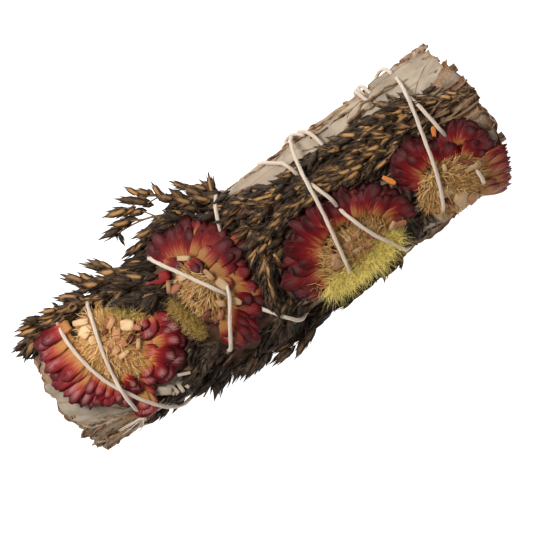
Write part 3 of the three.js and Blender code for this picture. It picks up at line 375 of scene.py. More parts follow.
# A flower's centre: heights of its rim and middle, the pad, its straws and the chips between them
DISC_LOW = 2.3
DISC_TOP = 3.0
PAD_DROP = 0.6
PAD_THICKNESS = 0.5
STRAWS = 1150
STRAW_LENGTHS = (1.4, 4.6)
STRAW_RADII = (0.05, 0.17)
STRAW_TAPER = np.array([0.5, 1, 0.9, 0.3])
STRAW_LIFTS = (-0.5, 0.6)
# How strongly a flower's light, partly painted shade, dims its straws
STRAW_DIMMING = 0.6
LOOSE_STRAWS = 110
LOOSE_LIFT = 0.8
CHIPS = 40
CHIP_LENGTHS = (0.8, 2.2)
CHIP_WIDTHS = (0.5, 1.4)
# The place of the cut bracts' finish in a centre's list
CUT = 1

# Seed sprays, near their solids: x, y and height above the roll's upper side, root to tip
SPRAYS = [
    [(67, 4, 3.2), (52, 9, 3.8), (38, 11.4, 3.8), (27, 13, 3.8), (19, 14.4, 3)],
    [(60, 3, 3.2), (44, 6.4, 3.6), (26, 8.2, 4), (10, 12.6, 3.8), (0, 17, 3)],
    [(44, 3.4, 3.4), (28, 5, 3.8), (12, 6.6, 4), (2, 2, 4), (-3, -7, 4)],
    [(17, 11.6, 2), (8, 10.6, 2.4), (3.2, 5, 2.6), (2.6, -3, 2.6)],
    [(10, 16.6, 2.4), (2, 18.6, 2.4), (-6, 24, 0), (-13, 30, -1), (-17, 32.6, -2)],
    [(-2, 18.6, 0.6), (-10, 22.5, -2), (-18, 26.6, -4), (-26, 28.2, -5)],
    [(4, 17.8, -0.8), (1.2, 20.6, -2.4), (-2.4, 24.6, -3.4)],
    [(-2, 13, 2.8), (-11, 18.5, 1), (-20, 21.5, -1), (-24, 22, -2)],
    [(-21, 17, 0), (-30, 18.6, 1), (-36, 20.8, 0), (-40.4, 24, -1)],
    [(-25, 13.6, 3), (-36, 16, 3.4), (-47, 18.8, 2.2), (-56, 19.6, 1.2), (-60.4, 19, 1)],
    [(-22, 9.4, 3.4), (-28, 10, 3.8), (-34, 11.6, 4)],
    [(24, -17.6, 1), (10, -18, 0.6), (0, -19, 0), (-6, -21, -1), (-9.5, -21.8, -1.6)],
    [(4, -13, 3.6), (-4, -15, 3), (-14, -16.2, 2), (-25, -18, 0)],
    [(-18, -10, 3.4), (-29, -12, 3), (-38, -14.6, 1.4), (-44, -15.8, 1)],
    [(43, -14, 3), (36, -15.6, 2.4), (29, -18, 0.6), (25, -19.2, -0.4)],
]
# How bright each long spray's husks are; the low values, between the first two flowers and on the lower
# side, are partly painted shade
SPRAY_BRIGHTNESS = [0.8, 0.8, 0.8, 0.7, 0.5, 0.5, 0.5, 0.4, 0.6, 0.7, 0.1, 0.15, 0.15, 0.2, 0.2]
# Their stalks, the clusters of husks along them, each on a pedicel, and the husks themselves
LONG_STALKED = 2
BARE_STALK = 0.12
CLUSTER_GAP = 1.9
CLUSTER_HUSKS = (2, 3, 3)
PEDICEL = (0.6, 3.0)
HUSK_LENGTH = 6.2
HUSK_GIRTH = 0.76
CLUSTER_SPREAD = 0.36
CLUSTER_SWING = 1.7
HUSK_SPREAD = 0.16
HUSK_LENGTHS = (0.78, 1.16)
HUSK_GIRTHS = (0.8, 1.2)
HUSK_TONES = (0.2, 1.4)
# Painted shade: how dark the husks of a cluster's bed are, deep in the bunch
BED_SHADE_TONE = 0.1
STEM_RADIUS = 0.42
STEM_STEP = 1.5
PEDICEL_SHARE = 0.45
# The place of the stalks' finish in a spray's list
STALK = 1
# Short sprays that fill the bunch between the long ones: plan place, heading in degrees, length, lift and
# how bright their husks are; the darkest partly stand in as painted shade for the gaps between sprays and
# flowers
FILLING = [
    (56, 11.0, 172, 13, 3.0, 0.6), (48, 12.2, 168, 12, 2.8, 0.8), (36, 12.6, 170, 13, 2.8, 0.8),
    (30, 9.6, 180, 12, 3.4, 0.7), (52, 8, 178, 12, 3.0, 0.6), (40, 8.4, 184, 14, 3.6, 0.8),
    (33, 6.2, 178, 13, 3.2, 0.8), (22, 6.8, 186, 13, 3.4, 0.6), (14, 9.8, 180, 12, 3.4, 0.7),
    (12, 14, 172, 12, 2.6, 0.6), (9, 6.8, 198, 12, 3.2, 0.6), (6, 3, 212, 10, 3.2, 0.6),
    (5, 13.6, 184, 7, 2.2, 0.5), (1, -0.4, 232, 9, 3.0, 0.6), (43, 5.0, 184, 10, 3.0, 0.7),
    (-1, -4, 248, 8, 1.8, 0.5), (3, -9, 218, 11, 2.4, 0.3), (6, -15.6, 192, 12, 1.2, 0.3),
    (-1, -12.6, 208, 11, 2.4, 0.3), (-8, -15.6, 200, 11, 1.6, 0.15), (-19, -13.6, 196, 11, 2.0, 0.15),
    (-25, -9, 200, 6, 1.2, 0.5), (-24, -15.8, 196, 10, 0.8, 0.1), (-33, -12.4, 190, 9, 1.2, 0.3),
    (23, -18.2, 190, 9, 0.6, 0.1), (14, -18.4, 186, 10, 0.4, 0.1), (34, -16.4, 214, 9, 1.2, 0.2),
    (40, -12, 232, 8, 2.0, 0.2), (37, -6, 250, 8, 1.6, 0.2), (-24, 15.4, 176, 10, 1.4, 0.3),
    (-34, 14.8, 178, 11, 2.0, 0.3), (-45, 18, 174, 11, 1.4, 0.6), (-52, 18, 178, 9, 1.2, 0.6),
    (-26, 5.4, 190, 7, 0.6, 0.2), (-28, 11, 184, 9, 1.4, 0.1), (-31, 8.4, 190, 8, 1.0, 0.05),
    (-12, 21, 166, 9, -0.6, 0.4), (-23.6, -5, 196, 5, 0.8, 0.3), (-25, -12, 196, 9, 1.8, 0.3),
    (46, 3.4, 178, 9, 1.6, 0.5), (34, 1.6, 180, 9, 1.8, 0.6), (10, 1, 200, 9, 1.6, 0.3),
    (41, 2, 190, 7, 1.8, 0.3), (39.4, -1, 236, 6, 1.4, 0.1), (51, 4.6, 180, 8, 1.4, 0.4),
    (-18, 17.6, 176, 8, 1.2, 0.1), (-20, 14.6, 180, 7, 1.0, 0.1), (-20.6, 8, 188, 6, 0.6, 0.05),
    (66, 1.4, 180, 9, 0.6, 0.05), (62, 3.4, 180, 8, 0.8, 0.1), (-22, -6, 196, 7, 0.8, 0.1),
    (-20, -14, 190, 7, 1.0, 0.05), (42, -8, 244, 7, 0.8, 0.05), (30, -19.2, 184, 9, 0.0, 0.1),
    (22, -19.8, 184, 10, 0.0, 0.1), (13, -19.8, 184, 9, 0.0, 0.05), (39, -16.8, 196, 7, 1.4, 0.5),
    (43.6, -15.0, 214, 6, 1.6, 0.5), (36, -18, 190, 7, 0.4, 0.3), (-43, 16.6, 176, 10, 0.8, 0.1),
    (-51, 15.6, 182, 8, 0.4, 0.1), (-9, 20, 170, 8, 0.6, 0.1), (-2, 10, 190, 7, 1.4, 0.1),
    (-2, 2, 204, 6, 1.2, 0.1), (-22, 2, 200, 6, 0.6, 0.05), (-22, -10, 196, 7, 1.2, 0.05),
    (-14, -14.6, 190, 8, 1.0, 0.05), (49, -17.6, 184, 8, -0.4, 0.05), (54, 3, 184, 7, 1.0, 0.2),
    (12, -19.6, 186, 10, -1.6, 0.05), (4, -20.4, 190, 9, -2.4, 0.05), (-14, -17.6, 196, 9, 0.2, 0.05),
    (-12, -15.4, 190, 9, 1.6, 0.1), (-17, -15.6, 194, 8, 1.8, 0.15), (-20.5, 6.6, 186, 6, 0.6, 0.1),
    (-21, -8.4, 190, 7, 1.0, 0.1), (-4.6, -12.6, 200, 7, 1.2, 0.1),
]
# Husks that show one by one: tip and root in plan, width and brightness
PLACED_HUSKS = [
    (-32.2, 29.5, -25.4, 28.8, 2.2, 0.2), (-27.2, 23.7, -26.6, 28.0, 1.0, 0.1),
    (-28.0, 31.0, -22.0, 28.6, 2.2, 0.7), (-27.8, 33.7, -20.8, 31.4, 2.2, 0.85),
    (-22.4, 35.8, -17.6, 31.6, 1.9, 0.3), (-18.3, 37.1, -16.2, 32.4, 1.6, 0.75),
    (-16.8, 34.9, -13.8, 31.2, 1.8, 0.5), (-11.6, 33.7, -11.9, 28.8, 1.7, 0.7),
    (-22.8, 31.2, -18.0, 28.8, 1.8, 0.8), (-19.4, 33.6, -15.8, 29.6, 2.0, 0.3),
    (-25.0, 24.9, -18.6, 23.2, 2.0, 0.55), (-26.5, 21.5, -21.6, 22.2, 1.7, 0.5),
    (-26.2, 16.6, -22.2, 21.0, 1.7, 0.55), (-17.0, 26.5, -13.4, 22.4, 1.8, 0.5),
    (-13.6, 25.8, -9.8, 22.0, 2.2, 0.6), (-17.9, 24.8, -14.6, 22.2, 1.2, 0.3),
    (-8.2, 31.2, -5.0, 26.8, 1.6, 0.6), (-9.2, 29.8, -7.2, 24.6, 2.3, 0.35),
    (-4.4, 27.4, -1.2, 23.2, 2.0, 0.55), (-1.4, 27.2, -0.2, 22.4, 1.5, 0.35),
    (1.8, 27.4, -0.8, 21.2, 1.7, 0.6), (-10.2, 27.6, -6.4, 22.8, 2.2, 0.5),
    (-6.6, 28.2, -3.4, 23.0, 2.2, 0.4), (-13.4, 30.6, -9.6, 26.4, 1.8, 0.4),
    (-6.0, 24.8, -2.0, 20.6, 2.2, 0.55), (-3.2, 22.8, 1.0, 19.0, 2.0, 0.4),
    (-10.4, 24.6, -6.0, 20.8, 2.2, 0.3), (-45.2, 28.5, -41.0, 22.6, 2.5, 0.5),
    (-45.9, 27.7, -42.0, 23.2, 1.4, 0.2), (-41.0, 26.2, -38.9, 21.6, 1.9, 0.7),
    (-42.8, 22.8, -37.6, 20.2, 3.0, 0.95), (-44.8, 22.4, -40.6, 20.4, 2.0, 0.3),
    (-39.5, 28.1, -35.2, 22.8, 1.6, 0.35), (-37.2, 27.4, -34.0, 22.4, 2.1, 0.35),
    (-35.1, 25.6, -33.1, 21.2, 1.5, 0.75), (-37.4, 22.8, -32.6, 20.0, 2.6, 0.85),
    (-38.6, 22.4, -35.0, 19.4, 1.3, 0.6), (-37.6, 20.4, -32.8, 18.2, 1.5, 0.8),
    (-36.8, 18.6, -31.0, 15.4, 2.4, 0.8), (-33.4, 21.0, -28.8, 18.2, 1.7, 0.7),
    (-29.6, 20.4, -25.2, 18.0, 1.6, 0.6), (-67.3, 19.1, -62.0, 19.0, 1.4, 0.2),
    (-66.5, 17.3, -61.8, 16.8, 1.3, 0.1), (-64.8, 15.4, -59.6, 18.6, 2.8, 0.5),
    (-64.0, 22.2, -57.2, 19.4, 2.7, 0.75), (-63.6, 23.2, -58.0, 21.8, 1.4, 0.6),
    (-60.1, 24.6, -55.6, 21.8, 1.8, 0.2), (-61.0, 24.0, -56.4, 21.4, 1.6, 0.2),
    (-55.6, 23.4, -50.8, 21.2, 1.8, 0.7), (-57.0, 22.4, -51.2, 20.2, 2.0, 0.8),
    (-57.8, 21.2, -52.0, 18.0, 2.5, 0.9), (-50.8, 23.9, -49.8, 21.0, 0.9, 0.1),
    (-50.2, 24.4, -44.2, 20.2, 2.6, 0.6), (-52.2, 20.6, -47.2, 20.0, 2.2, 0.75),
    (-48.8, 21.8, -43.8, 18.6, 2.2, 0.3), (-31.7, -22.0, -26.8, -16.8, 3.0, 0.05),
    (-28.6, -20.9, -23.4, -17.2, 2.4, 0.05), (-25.8, -20.9, -19.8, -18.0, 1.9, 0.05),
    (-23.4, -21.6, -16.4, -18.6, 1.8, 0.2), (-22.9, -22.5, -15.4, -19.2, 2.0, 0.2),
    (-19.5, -22.4, -13.0, -19.8, 2.0, 0.1), (-15.1, -22.6, -8.4, -21.8, 1.4, 0.3),
    (-14.7, -23.4, -7.8, -22.6, 1.8, 0.3), (-8.9, -25.3, -3.4, -22.8, 1.7, 0.25),
    (-13.3, -20.6, -6.0, -20.8, 1.8, 0.5), (-7.8, -20.6, -4.2, -17.2, 1.5, 0.8),
    (-5.6, -24.0, 0.0, -21.6, 1.8, 0.2), (-42.8, -18.1, -38.2, -16.4, 1.2, 0.05),
    (-46.4, -17.4, -41.4, -15.6, 1.8, 0.1), (-49.4, -16.6, -44.4, -14.8, 1.8, 0.4),
    (-28.8, -14.4, -25.2, -10.8, 1.9, 0.75), (21.8, -23.0, 24.2, -18.4, 2.4, 0.1),
    (20.0, -21.8, 22.2, -17.8, 1.8, 0.1), (26.8, -22.8, 29.2, -18.8, 1.8, 0.3),
    (24.4, -22.0, 26.8, -18.4, 1.6, 0.2), (34.8, -19.6, 37.8, -15.8, 1.6, 0.3),
    (40.8, -19.2, 40.4, -14.8, 2.0, 0.2), (38.0, -18.8, 39.4, -14.6, 1.8, 0.3),
    (45.6, 16.4, 49.0, 12.8, 1.8, 0.35), (50.0, 16.4, 50.4, 12.2, 2.0, 0.35),
    (52.2, 15.0, 53.8, 11.0, 1.5, 0.2), (54.2, 12.2, 58.4, 7.8, 2.0, 0.8), (55.0, 8.8, 59.2, 6.8, 1.5, 0.6),
    (59.4, 8.2, 62.4, 5.2, 1.8, 0.7), (61.4, 8.2, 64.4, 5.2, 1.4, 0.75), (57.2, 5.8, 61.6, 4.4, 1.5, 0.4),
    (30.6, 16.2, 34.4, 12.6, 2.0, 0.3), (27.0, 16.0, 30.6, 12.6, 1.8, 0.6),
    (33.4, 15.0, 37.6, 11.8, 2.0, 0.75), (37.4, 13.8, 42.0, 11.2, 1.9, 0.8),
    (42.8, 14.0, 47.0, 11.4, 1.8, 0.7), (26.4, 7.0, 31.4, 5.6, 2.0, 0.9), (29.4, 6.0, 34.4, 4.8, 2.0, 0.95),
    (35.4, 7.4, 40.8, 6.2, 2.2, 0.95), (34.8, 2.0, 40.2, 2.4, 1.6, 0.9), (46.2, 12.6, 50.8, 9.8, 2.2, 0.75),
    (64.0, 6.0, 67.0, 4.6, 1.2, 0.3), (14.4, 16.0, 18.6, 13.2, 1.8, 0.4), (9.4, 15.0, 14.2, 13.2, 1.8, 0.4),
]
PLACED_LIFT = 0.9
HUSK_SHAPE_WIDTH = 0.36
HUSK_BODY = 0.16
# The two husks beside each of them: how much slimmer, shorter and lower they are
BESIDE_GIRTH = 0.85
BESIDE_LENGTHS = (0.72, 0.92)
BESIDE_DROP = 0.8
# How far the husks between may reach sideways: x and y, at the upper and the lower side
UPPER_REACH = [
    (-64, 20.4), (-30, 20.8), (-23, 22.8), (-16, 24.2), (-9, 26.8), (-3, 26), (1, 23.4), (6, 19), (14, 17),
    (60, 13),
]
LOWER_REACH = [
    (-56, -15), (-44, -16.4), (-30, -17.4), (-12, -19.6), (4, -21.6), (26, -21.2), (44, -17.4),
]
# The bed of a cluster, darkened as painted shade: its husks, how far they lie below and beside it, and
# lower under a flower
BED_HUSKS = 3
BED_DROP = (0.8, 2.0)
BED_SPREAD = 2.2
UNDER_HEAD_DROP = 1.6

# Tufts of down: route, spread of the roots, reach of the hairs, their number and how bright they are
TUFTS = [
    ([(-42.6, 14.0, 4.0), (-40, 12.2, 4.2), (-37, 10, 4.2), (-33.4, 6.6, 3.8)], 0.7, 2.4, 520, 0.7),
    ([(-25.6, 4.4, 3.0), (-24.8, 1.6, 3.2), (-24.4, -2, 3.4), (-23.6, -5.4, 3.0)], 1.6, 1.8, 1600, 0.4),
    ([(9.6, -14.9, 4.6), (16, -15.4, 5.2), (24, -15.1, 5.2), (30.0, -14.2, 4.6)], 1.9, 4.0, 7200, 2.3),
]
# The hairs: their taper, lengths and sag, and the locks that they grow in
HAIR_RADIUS = 0.05
HAIR_TAPER = np.array([1, 0.9, 0.3])
HAIR_TOP = 38
HAIR_LENGTHS = (0.35, 1.15)
HAIR_SAG = 0.35
LOCKS = 60
LOCK_LEAN = (-0.2, -0.15, 0.3)

# Single petals: plan place, heading in degrees, length, width and lift
LOOSE_PETALS = {
    "orange_petal_1": (37.3, -2.2, -62, 3.8, 1.4, 5.2),
    "orange_petal_2": (53.6, 1.2, 62, 2.6, 1.3, 5.0),
    "red_petal": (-25.0, 11.9, 172, 7.0, 3.2, 3.9),
}


def linear(red, green, blue):
    """A colour given as 0 to 255 on a screen, as Blender mixes it."""
    shares = [value / 255 for value in (red, green, blue)]
    mixed = [s / 12.92 if s <= 0.04045 else ((s + 0.055) / 1.055) ** 2.4 for s in shares]
    return (*mixed, 1.0)


def dimmed(colour, share):
    return (*(value * share for value in colour[:3]), 1.0)


SAGE_PALE = linear(178, 162, 141)
SAGE_GREY = linear(150, 136, 118)
SAGE_ROSE = linear(170, 142, 122)
SAGE_TAN = linear(172, 136, 100)
SAGE_BROWN = linear(116, 78, 54)
SAGE_DEEP = linear(52, 38, 28)
STALK_TAN = linear(176, 140, 100)
STALK_BROWN = linear(98, 70, 48)
HUSK_BLACK = linear(26, 18, 14)
HUSK_BROWN = linear(118, 90, 62)
HUSK_TAN = linear(198, 146, 90)
BRACT_GOLD = linear(188, 130, 72)
BRACT_AMBER = linear(178, 88, 54)
BRACT_CRIMSON = linear(142, 24, 28)
BRACT_MAROON = linear(98, 13, 19)
BRACT_NIGHT = linear(64, 9, 12)
# Pink of the painted highlight on the bracts' crowns
BRACT_HIGHLIGHT_PINK = linear(226, 156, 152)
CUT_CREAM = linear(230, 194, 148)
CUT_TAN = linear(192, 138, 96)
CUT_ROSE = linear(172, 98, 72)
STRAW_LIGHT = linear(236, 194, 126)
STRAW_DARK = linear(186, 126, 66)
DOWN_LEMON = linear(255, 236, 134)
DOWN_OLIVE = linear(166, 120, 52)
PETAL_ORANGE = linear(208, 124, 24)
PETAL_RED = linear(146, 8, 14)
STRING_PALE = linear(212, 194, 174)
# A soiled tint of the string, also its painted shade in the grooves between plies
STRING_DIRT_AND_SHADE = linear(176, 150, 128)


# Places on the roll


def between(low, high, share):
    return low + (high - low) * share


def smoothstep(value, low, high):
    share = np.clip((value - low) / (high - low), 0, 1)
    return share * share * (3 - 2 * share)


def unit(vectors):
    return vectors / np.linalg.norm(vectors, axis=-1, keepdims=True)


def ahead_of(heading):
    return np.array([math.cos(heading), math.sin(heading)])


def left_of(ahead):
    return np.array([-ahead[1], ahead[0]])


def roll_at(x):
    """Half-width, half-height and axis height of the roll at x."""
    half = between(SLIM_HALF_WIDTH, FULL_HALF_WIDTH, smoothstep(x, LEFT_END, FULL_FROM_X))
    tall = half * HEIGHT_SHARE
    return half, tall, tall + AXIS_RISE


def on_roll(x, angle, height):
    x, angle, height = np.broadcast_arrays(np.asarray(x, float), angle, height)
    half, tall, axis = roll_at(x)
    out = unit(np.stack([np.sin(angle) / half, np.cos(angle) / tall], axis=-1))
    across = half * np.sin(angle) + height * out[..., 0]
    up = axis + tall * np.cos(angle) + height * out[..., 1]
    return np.stack([x, across, up], axis=-1)


def top_at(x, y):
    """Height of the roll's upper side at a plan point, levelling out past its edges."""
    half, tall, axis = roll_at(x)
    return axis + tall * np.sqrt(np.maximum(1 - (y / half) ** 2, EDGE_SHARE**2))


def smooth_line(points, count, steps=16):
    """Points evenly spaced on the centripetal Catmull-Rom curve through the given ones."""
    points = np.asarray(points, float)
    padded = np.vstack([2 * points[0] - points[1], points, 2 * points[-1] - points[-2]])
    share = np.linspace(0, 1, steps, endpoint=False)[:, None]
    pieces = []
    for i in range(len(points) - 1):
        before, start, end, after = padded[i:i + 4]
        gaps = [math.sqrt(np.linalg.norm(b - a)) for a, b in ((before, start), (start, end), (end, after))]
        middle = (end - start) / gaps[1]
        leaving = gaps[1] * ((start - before) / gaps[0] - (end - before) / (gaps[0] + gaps[1]) + middle)
        reaching = gaps[1] * (middle - (after - start) / (gaps[1] + gaps[2]) + (after - end) / gaps[2])
        square, cube = share**2, share**3
        pieces.append(
            (2 * cube - 3 * square + 1) * start + (cube - 2 * square + share) * leaving
            + (3 * square - 2 * cube) * end + (cube - square) * reaching
        )
    line = np.vstack([*pieces, points[-1:]])
    run = np.concatenate([[0], np.cumsum(np.linalg.norm(np.diff(line, axis=0), axis=1))])
    wanted = np.linspace(0, run[-1], count)
    return np.stack([np.interp(wanted, run, line[:, axis]) for axis in range(3)], axis=-1)


def head_frame(flower):
    """Puts plan points at a height above the bent plane of a flower pressed on the roll."""
    half, tall, _ = roll_at(flower.x)
    angle = math.asin(flower.y / (half + 3))
    out = unit(np.array([0, math.sin(angle) / half, math.cos(angle) / tall]))
    along = np.array([1.0, 0, 0])
    round_roll = np.cross(out, along)
    origin = on_roll(flower.x, angle, BED)

    def place(x, y, up):
        x, y, up = np.broadcast_arrays(x, y, up)
        aside = (y - origin[1]) / round_roll[1]
        for _ in range(4):
            bent = up - aside * aside / (2 * HEAD_BEND)
            aside = (y - origin[1] - bent * out[1]) / round_roll[1]
        bent = up - aside * aside / (2 * HEAD_BEND)
        moves = ((x - flower.x, along), (aside, round_roll), (bent, out))
        return origin + sum(length[..., None] * way for length, way in moves)

    return place


# Small shapes, modelled once and copied


Shape = namedtuple("Shape", "points corners sizes places")


def deselect():
    bpy.ops.object.select_all(action="DESELECT")


def pick(piece, wanted):
    """In edit mode, selects the corners whose place passes the test."""
    shape = bmesh.from_edit_mesh(piece.data)
    for corner in shape.verts:
        corner.select = bool(wanted(corner.co))
    shape.select_flush_mode()
    bmesh.update_edit_mesh(piece.data)


def spindle(sides, rings):
    """A closed spindle drawn out of a circle. A ring is height, half-width, half-thickness and sideways."""
    deselect()
    bpy.ops.mesh.primitive_circle_add(vertices=sides, radius=1, fill_type="NGON")
    piece = bpy.context.object
    bpy.ops.object.mode_set(mode="EDIT")
    bpy.ops.mesh.select_all(action="SELECT")
    height, wide, thick, aside = rings[0]
    bpy.ops.transform.resize(value=(wide, thick, 1), center_override=(0, 0, 0))
    bpy.ops.transform.translate(value=(aside, 0, height))
    for before, ring in zip(rings, rings[1:]):
        move = (ring[3] - before[3], 0, ring[0] - before[0])
        bpy.ops.mesh.extrude_region_move(TRANSFORM_OT_translate={"value": move})
        stretch = (ring[1] / before[1], ring[2] / before[2], 1)
        bpy.ops.transform.resize(value=stretch, center_override=(ring[3], 0, ring[0]))
    bpy.ops.mesh.select_all(action="SELECT")
    bpy.ops.mesh.normals_make_consistent(inside=False)
    bpy.ops.object.mode_set(mode="OBJECT")
    return piece


def joined(pieces):
    deselect()
    for piece in pieces:
        piece.select_set(True)
    bpy.context.view_layer.objects.active = pieces[0]
    bpy.ops.object.join()
    return pieces[0]


def taken_down(piece, place_of):
    """The finished shape of a piece as plain arrays, which its copies are made from."""
    mesh = piece.data
    points = np.array([corner.co for corner in mesh.vertices])
    corners = np.array([loop.vertex_index for loop in mesh.loops])
    sizes = np.array([face.loop_total for face in mesh.polygons])
    places = np.array([place_of(point) for point in points])
    bpy.data.objects.remove(piece)
    bpy.data.meshes.remove(mesh)
    return Shape(points, corners, sizes, places)


def husk_place(point):
    """How far from its middle line and how far up a point lies on its husk."""
    return min(1, abs(point[0]) / HUSK_BODY), point[2]


def bed_husk_shape():
    """A husk's plain body, for those that lie deep in a spray."""
    return taken_down(spindle(5, [
        (0, 0.03, 0.03, 0), (0.3, 0.19, 0.13, 0), (0.62, 0.15, 0.11, 0.01), (1, 0.006, 0.006, 0.02),
    ]), husk_place)


def husk_shape(opening, lean):
    """A seed husk 1 long: a swollen body with a beak, and a thin scale at each side, standing apart."""
    body = spindle(6, [
        (0, 0.03, 0.03, 0), (0.12, 0.1, 0.08, 0), (0.3, HUSK_BODY, 0.12, 0), (0.5, 0.155, 0.12, 0.1 * lean),
        (0.72, 0.075, 0.06, 0.4 * lean), (1, 0.006, 0.006, lean),
    ])
    scales = []
    for side in (-1, 1):
        scales.append(spindle(4, [
            (0.02, 0.02, 0.03, 0.02 * side), (0.3, 0.035, 0.09, 0.15 * side),
            (0.58, 0.035, 0.07, (0.14 + 0.3 * opening) * side),
            (0.82 + 0.04 * side, 0.006, 0.006, (0.06 + opening) * side + 0.6 * lean),
        ]))
    return taken_down(joined([body, *scales]), husk_place)


def thicken(piece, thickness):
    deselect()
    piece.select_set(True)
    bpy.context.view_layer.objects.active = piece
    wall = piece.modifiers.new("wall", "SOLIDIFY")
    wall.thickness = thickness
    wall.offset = 0
    bpy.ops.object.modifier_apply(modifier=wall.name)


def bract_shape(rows, crown, curl):
    """A papery bract 1 long and 1 wide, of these widths along it, crowned across, its tip curling."""
    last = len(rows) - 1
    deselect()
    bpy.ops.mesh.primitive_grid_add(x_subdivisions=6, y_subdivisions=last, size=1)
    bract = bpy.context.object
    bpy.ops.object.mode_set(mode="EDIT")
    bpy.ops.mesh.select_all(action="SELECT")
    bpy.ops.transform.translate(value=(0, 0.5, 0))
    for share, drop in ((0.45, 5 / 9), (0.3, 3 / 9), (0.15, 1 / 9)):
        pick(bract, lambda place: abs(place.x) > share)
        bpy.ops.transform.translate(value=(0, 0, -crown * drop))
    for step, width in enumerate(rows):
        along = step / last
        pick(bract, lambda place: abs(place.y - along) < 0.3 / last)
        swell = between(0.25, 1, smoothstep(along, 0.25, 0.75))
        bpy.ops.transform.resize(value=(width, 1, swell), center_override=(0, along, 0))
        bpy.ops.transform.translate(value=(0, 0, curl * max(0, along - 0.5) ** 2))
    bpy.ops.object.mode_set(mode="OBJECT")
    thicken(bract, BRACT_WALL)
    return taken_down(bract, lambda point: (point[0] + 0.5, point[1]))


def any_of(shapes, random):
    return shapes[random.integers(len(shapes))]


class Heap:
    """Copies of shapes gathered into one mesh; each point has a place on its own copy and a tone."""

    def __init__(self):
        self.points = []
        self.corners = []
        self.sizes = []
        self.places = []
        self.tones = []
        self.finishes = []
        self.total = 0

    def add(self, shape, points=None, tone=0.5, finish=0):
        points = shape.points if points is None else points
        self.points.append(points)
        self.corners.append(shape.corners + self.total)
        self.sizes.append(shape.sizes)
        self.places.append(shape.places)
        self.tones.append(np.broadcast_to(tone, len(points)))
        self.finishes.append(np.full(len(shape.sizes), finish))
        self.total += len(points)

    def piece(self, name, finishes):
        """The mesh object, in metres, with its finishes."""
        mesh = bpy.data.meshes.new(name)
        points = np.concatenate(self.points)
        corners = np.concatenate(self.corners)
        sizes = np.concatenate(self.sizes)
        mesh.vertices.add(len(points))
        mesh.vertices.foreach_set("co", (points * MM).astype(np.float32).ravel())
        mesh.loops.add(len(corners))
        mesh.loops.foreach_set("vertex_index", corners.astype(np.int32))
        mesh.polygons.add(len(sizes))
        mesh.polygons.foreach_set("loop_start", (np.cumsum(sizes) - sizes).astype(np.int32))
        mesh.polygons.foreach_set("material_index", np.concatenate(self.finishes).astype(np.int32))
        mesh.update(calc_edges=True)
        places = np.concatenate(self.places)[corners]
        mesh.uv_layers.new(name="Place").data.foreach_set("uv", places.astype(np.float32).ravel())
        tones = mesh.attributes.new("Tone", "FLOAT", "POINT")
        tones.data.foreach_set("value", np.concatenate(self.tones).astype(np.float32))
        mesh.shade_smooth()
        for finish in finishes:
            mesh.materials.append(finish)
        piece = bpy.data.objects.new(name, mesh)
        bpy.context.collection.objects.link(piece)
        return piece


def strands(paths, radii, sides, lobes=0, lobe_depth=0.0, twist=0.0):
    """Closed tubes along many paths of equally many points; a lobed section turned by twist is a cord's."""
    paths = np.asarray(paths, float)
    count, steps, _ = paths.shape
    radii = np.broadcast_to(radii, (count, steps))
    ahead = unit(np.gradient(paths, axis=1))
    start = np.where(np.abs(ahead[:, :1, 2:]) > 0.9, np.array([1.0, 0, 0]), Z_AXIS)[:, 0]
    side = unit(np.cross(ahead[:, 0], start))
    corner_angles = 2 * np.pi * np.arange(sides) / sides
    reach = 1 + lobe_depth * np.cos(lobes * corner_angles)
    rings = []
    for step in range(steps):
        forward = ahead[:, step]
        side = unit(side - np.sum(side * forward, axis=1, keepdims=True) * forward)
        up = np.cross(forward, side)
        angles = corner_angles + twist * step
        swing = np.cos(angles)[None, :, None] * side[:, None] + np.sin(angles)[None, :, None] * up[:, None]
        width = (radii[:, step, None] * reach)[..., None]
        rings.append(paths[:, step, None] + width * swing)
    points = np.stack(rings, axis=1)
    index = np.arange(count * steps * sides).reshape(count, steps, sides)
    onward = np.roll(index, -1, axis=2)
    quads = np.stack([index[:, :-1], onward[:, :-1], onward[:, 1:], index[:, 1:]], axis=-1).reshape(-1)
    caps = np.concatenate([index[:, 0, ::-1].reshape(-1), index[:, -1].reshape(-1)])
    sizes = np.concatenate([np.full(len(quads) // 4, 4), np.full(2 * count, sides)])
    along = np.broadcast_to(np.linspace(0, 1, steps)[None, :, None], index.shape)
    about = np.broadcast_to(np.arange(sides) / sides, index.shape)
    places = np.stack([about, along], axis=-1).reshape(-1, 2)
    return Shape(points.reshape(-1, 3), np.concatenate([quads, caps]), sizes, places)


def sheet(grid, thickness, places):
    """A closed thin blade between a grid of points and its copy one thickness below."""
    rows, columns, _ = grid.shape
    down = unit(np.cross(np.gradient(grid, axis=0), np.gradient(grid, axis=1)))
    points = np.concatenate([grid.reshape(-1, 3), (grid - down * thickness).reshape(-1, 3)])
    index = np.arange(rows * columns).reshape(rows, columns)
    under = index + rows * columns
    quads = [
        np.stack([index[:-1, :-1], index[1:, :-1], index[1:, 1:], index[:-1, 1:]], axis=-1).reshape(-1, 4),
        np.stack([under[:-1, :-1], under[:-1, 1:], under[1:, 1:], under[1:, :-1]], axis=-1).reshape(-1, 4),
    ]
    rim = np.concatenate([index[0, :-1], index[:-1, -1], index[-1, :0:-1], index[:0:-1, 0]])
    after = np.roll(rim, -1)
    quads.append(np.stack([rim, after, after + rows * columns, rim + rows * columns], axis=-1))
    corners = np.concatenate([quad.reshape(-1) for quad in quads])
    sizes = np.full(len(corners) // 4, 4)
    return Shape(points, corners, sizes, np.concatenate([places, places]).reshape(-1, 2))


def fit(piece, body_slot, *nodes):
    """Fixes a finished piece to the stick, in the place of its solids."""
    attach(piece, "root")
    if nodes:
        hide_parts(*nodes)
    return piece


# Finishes


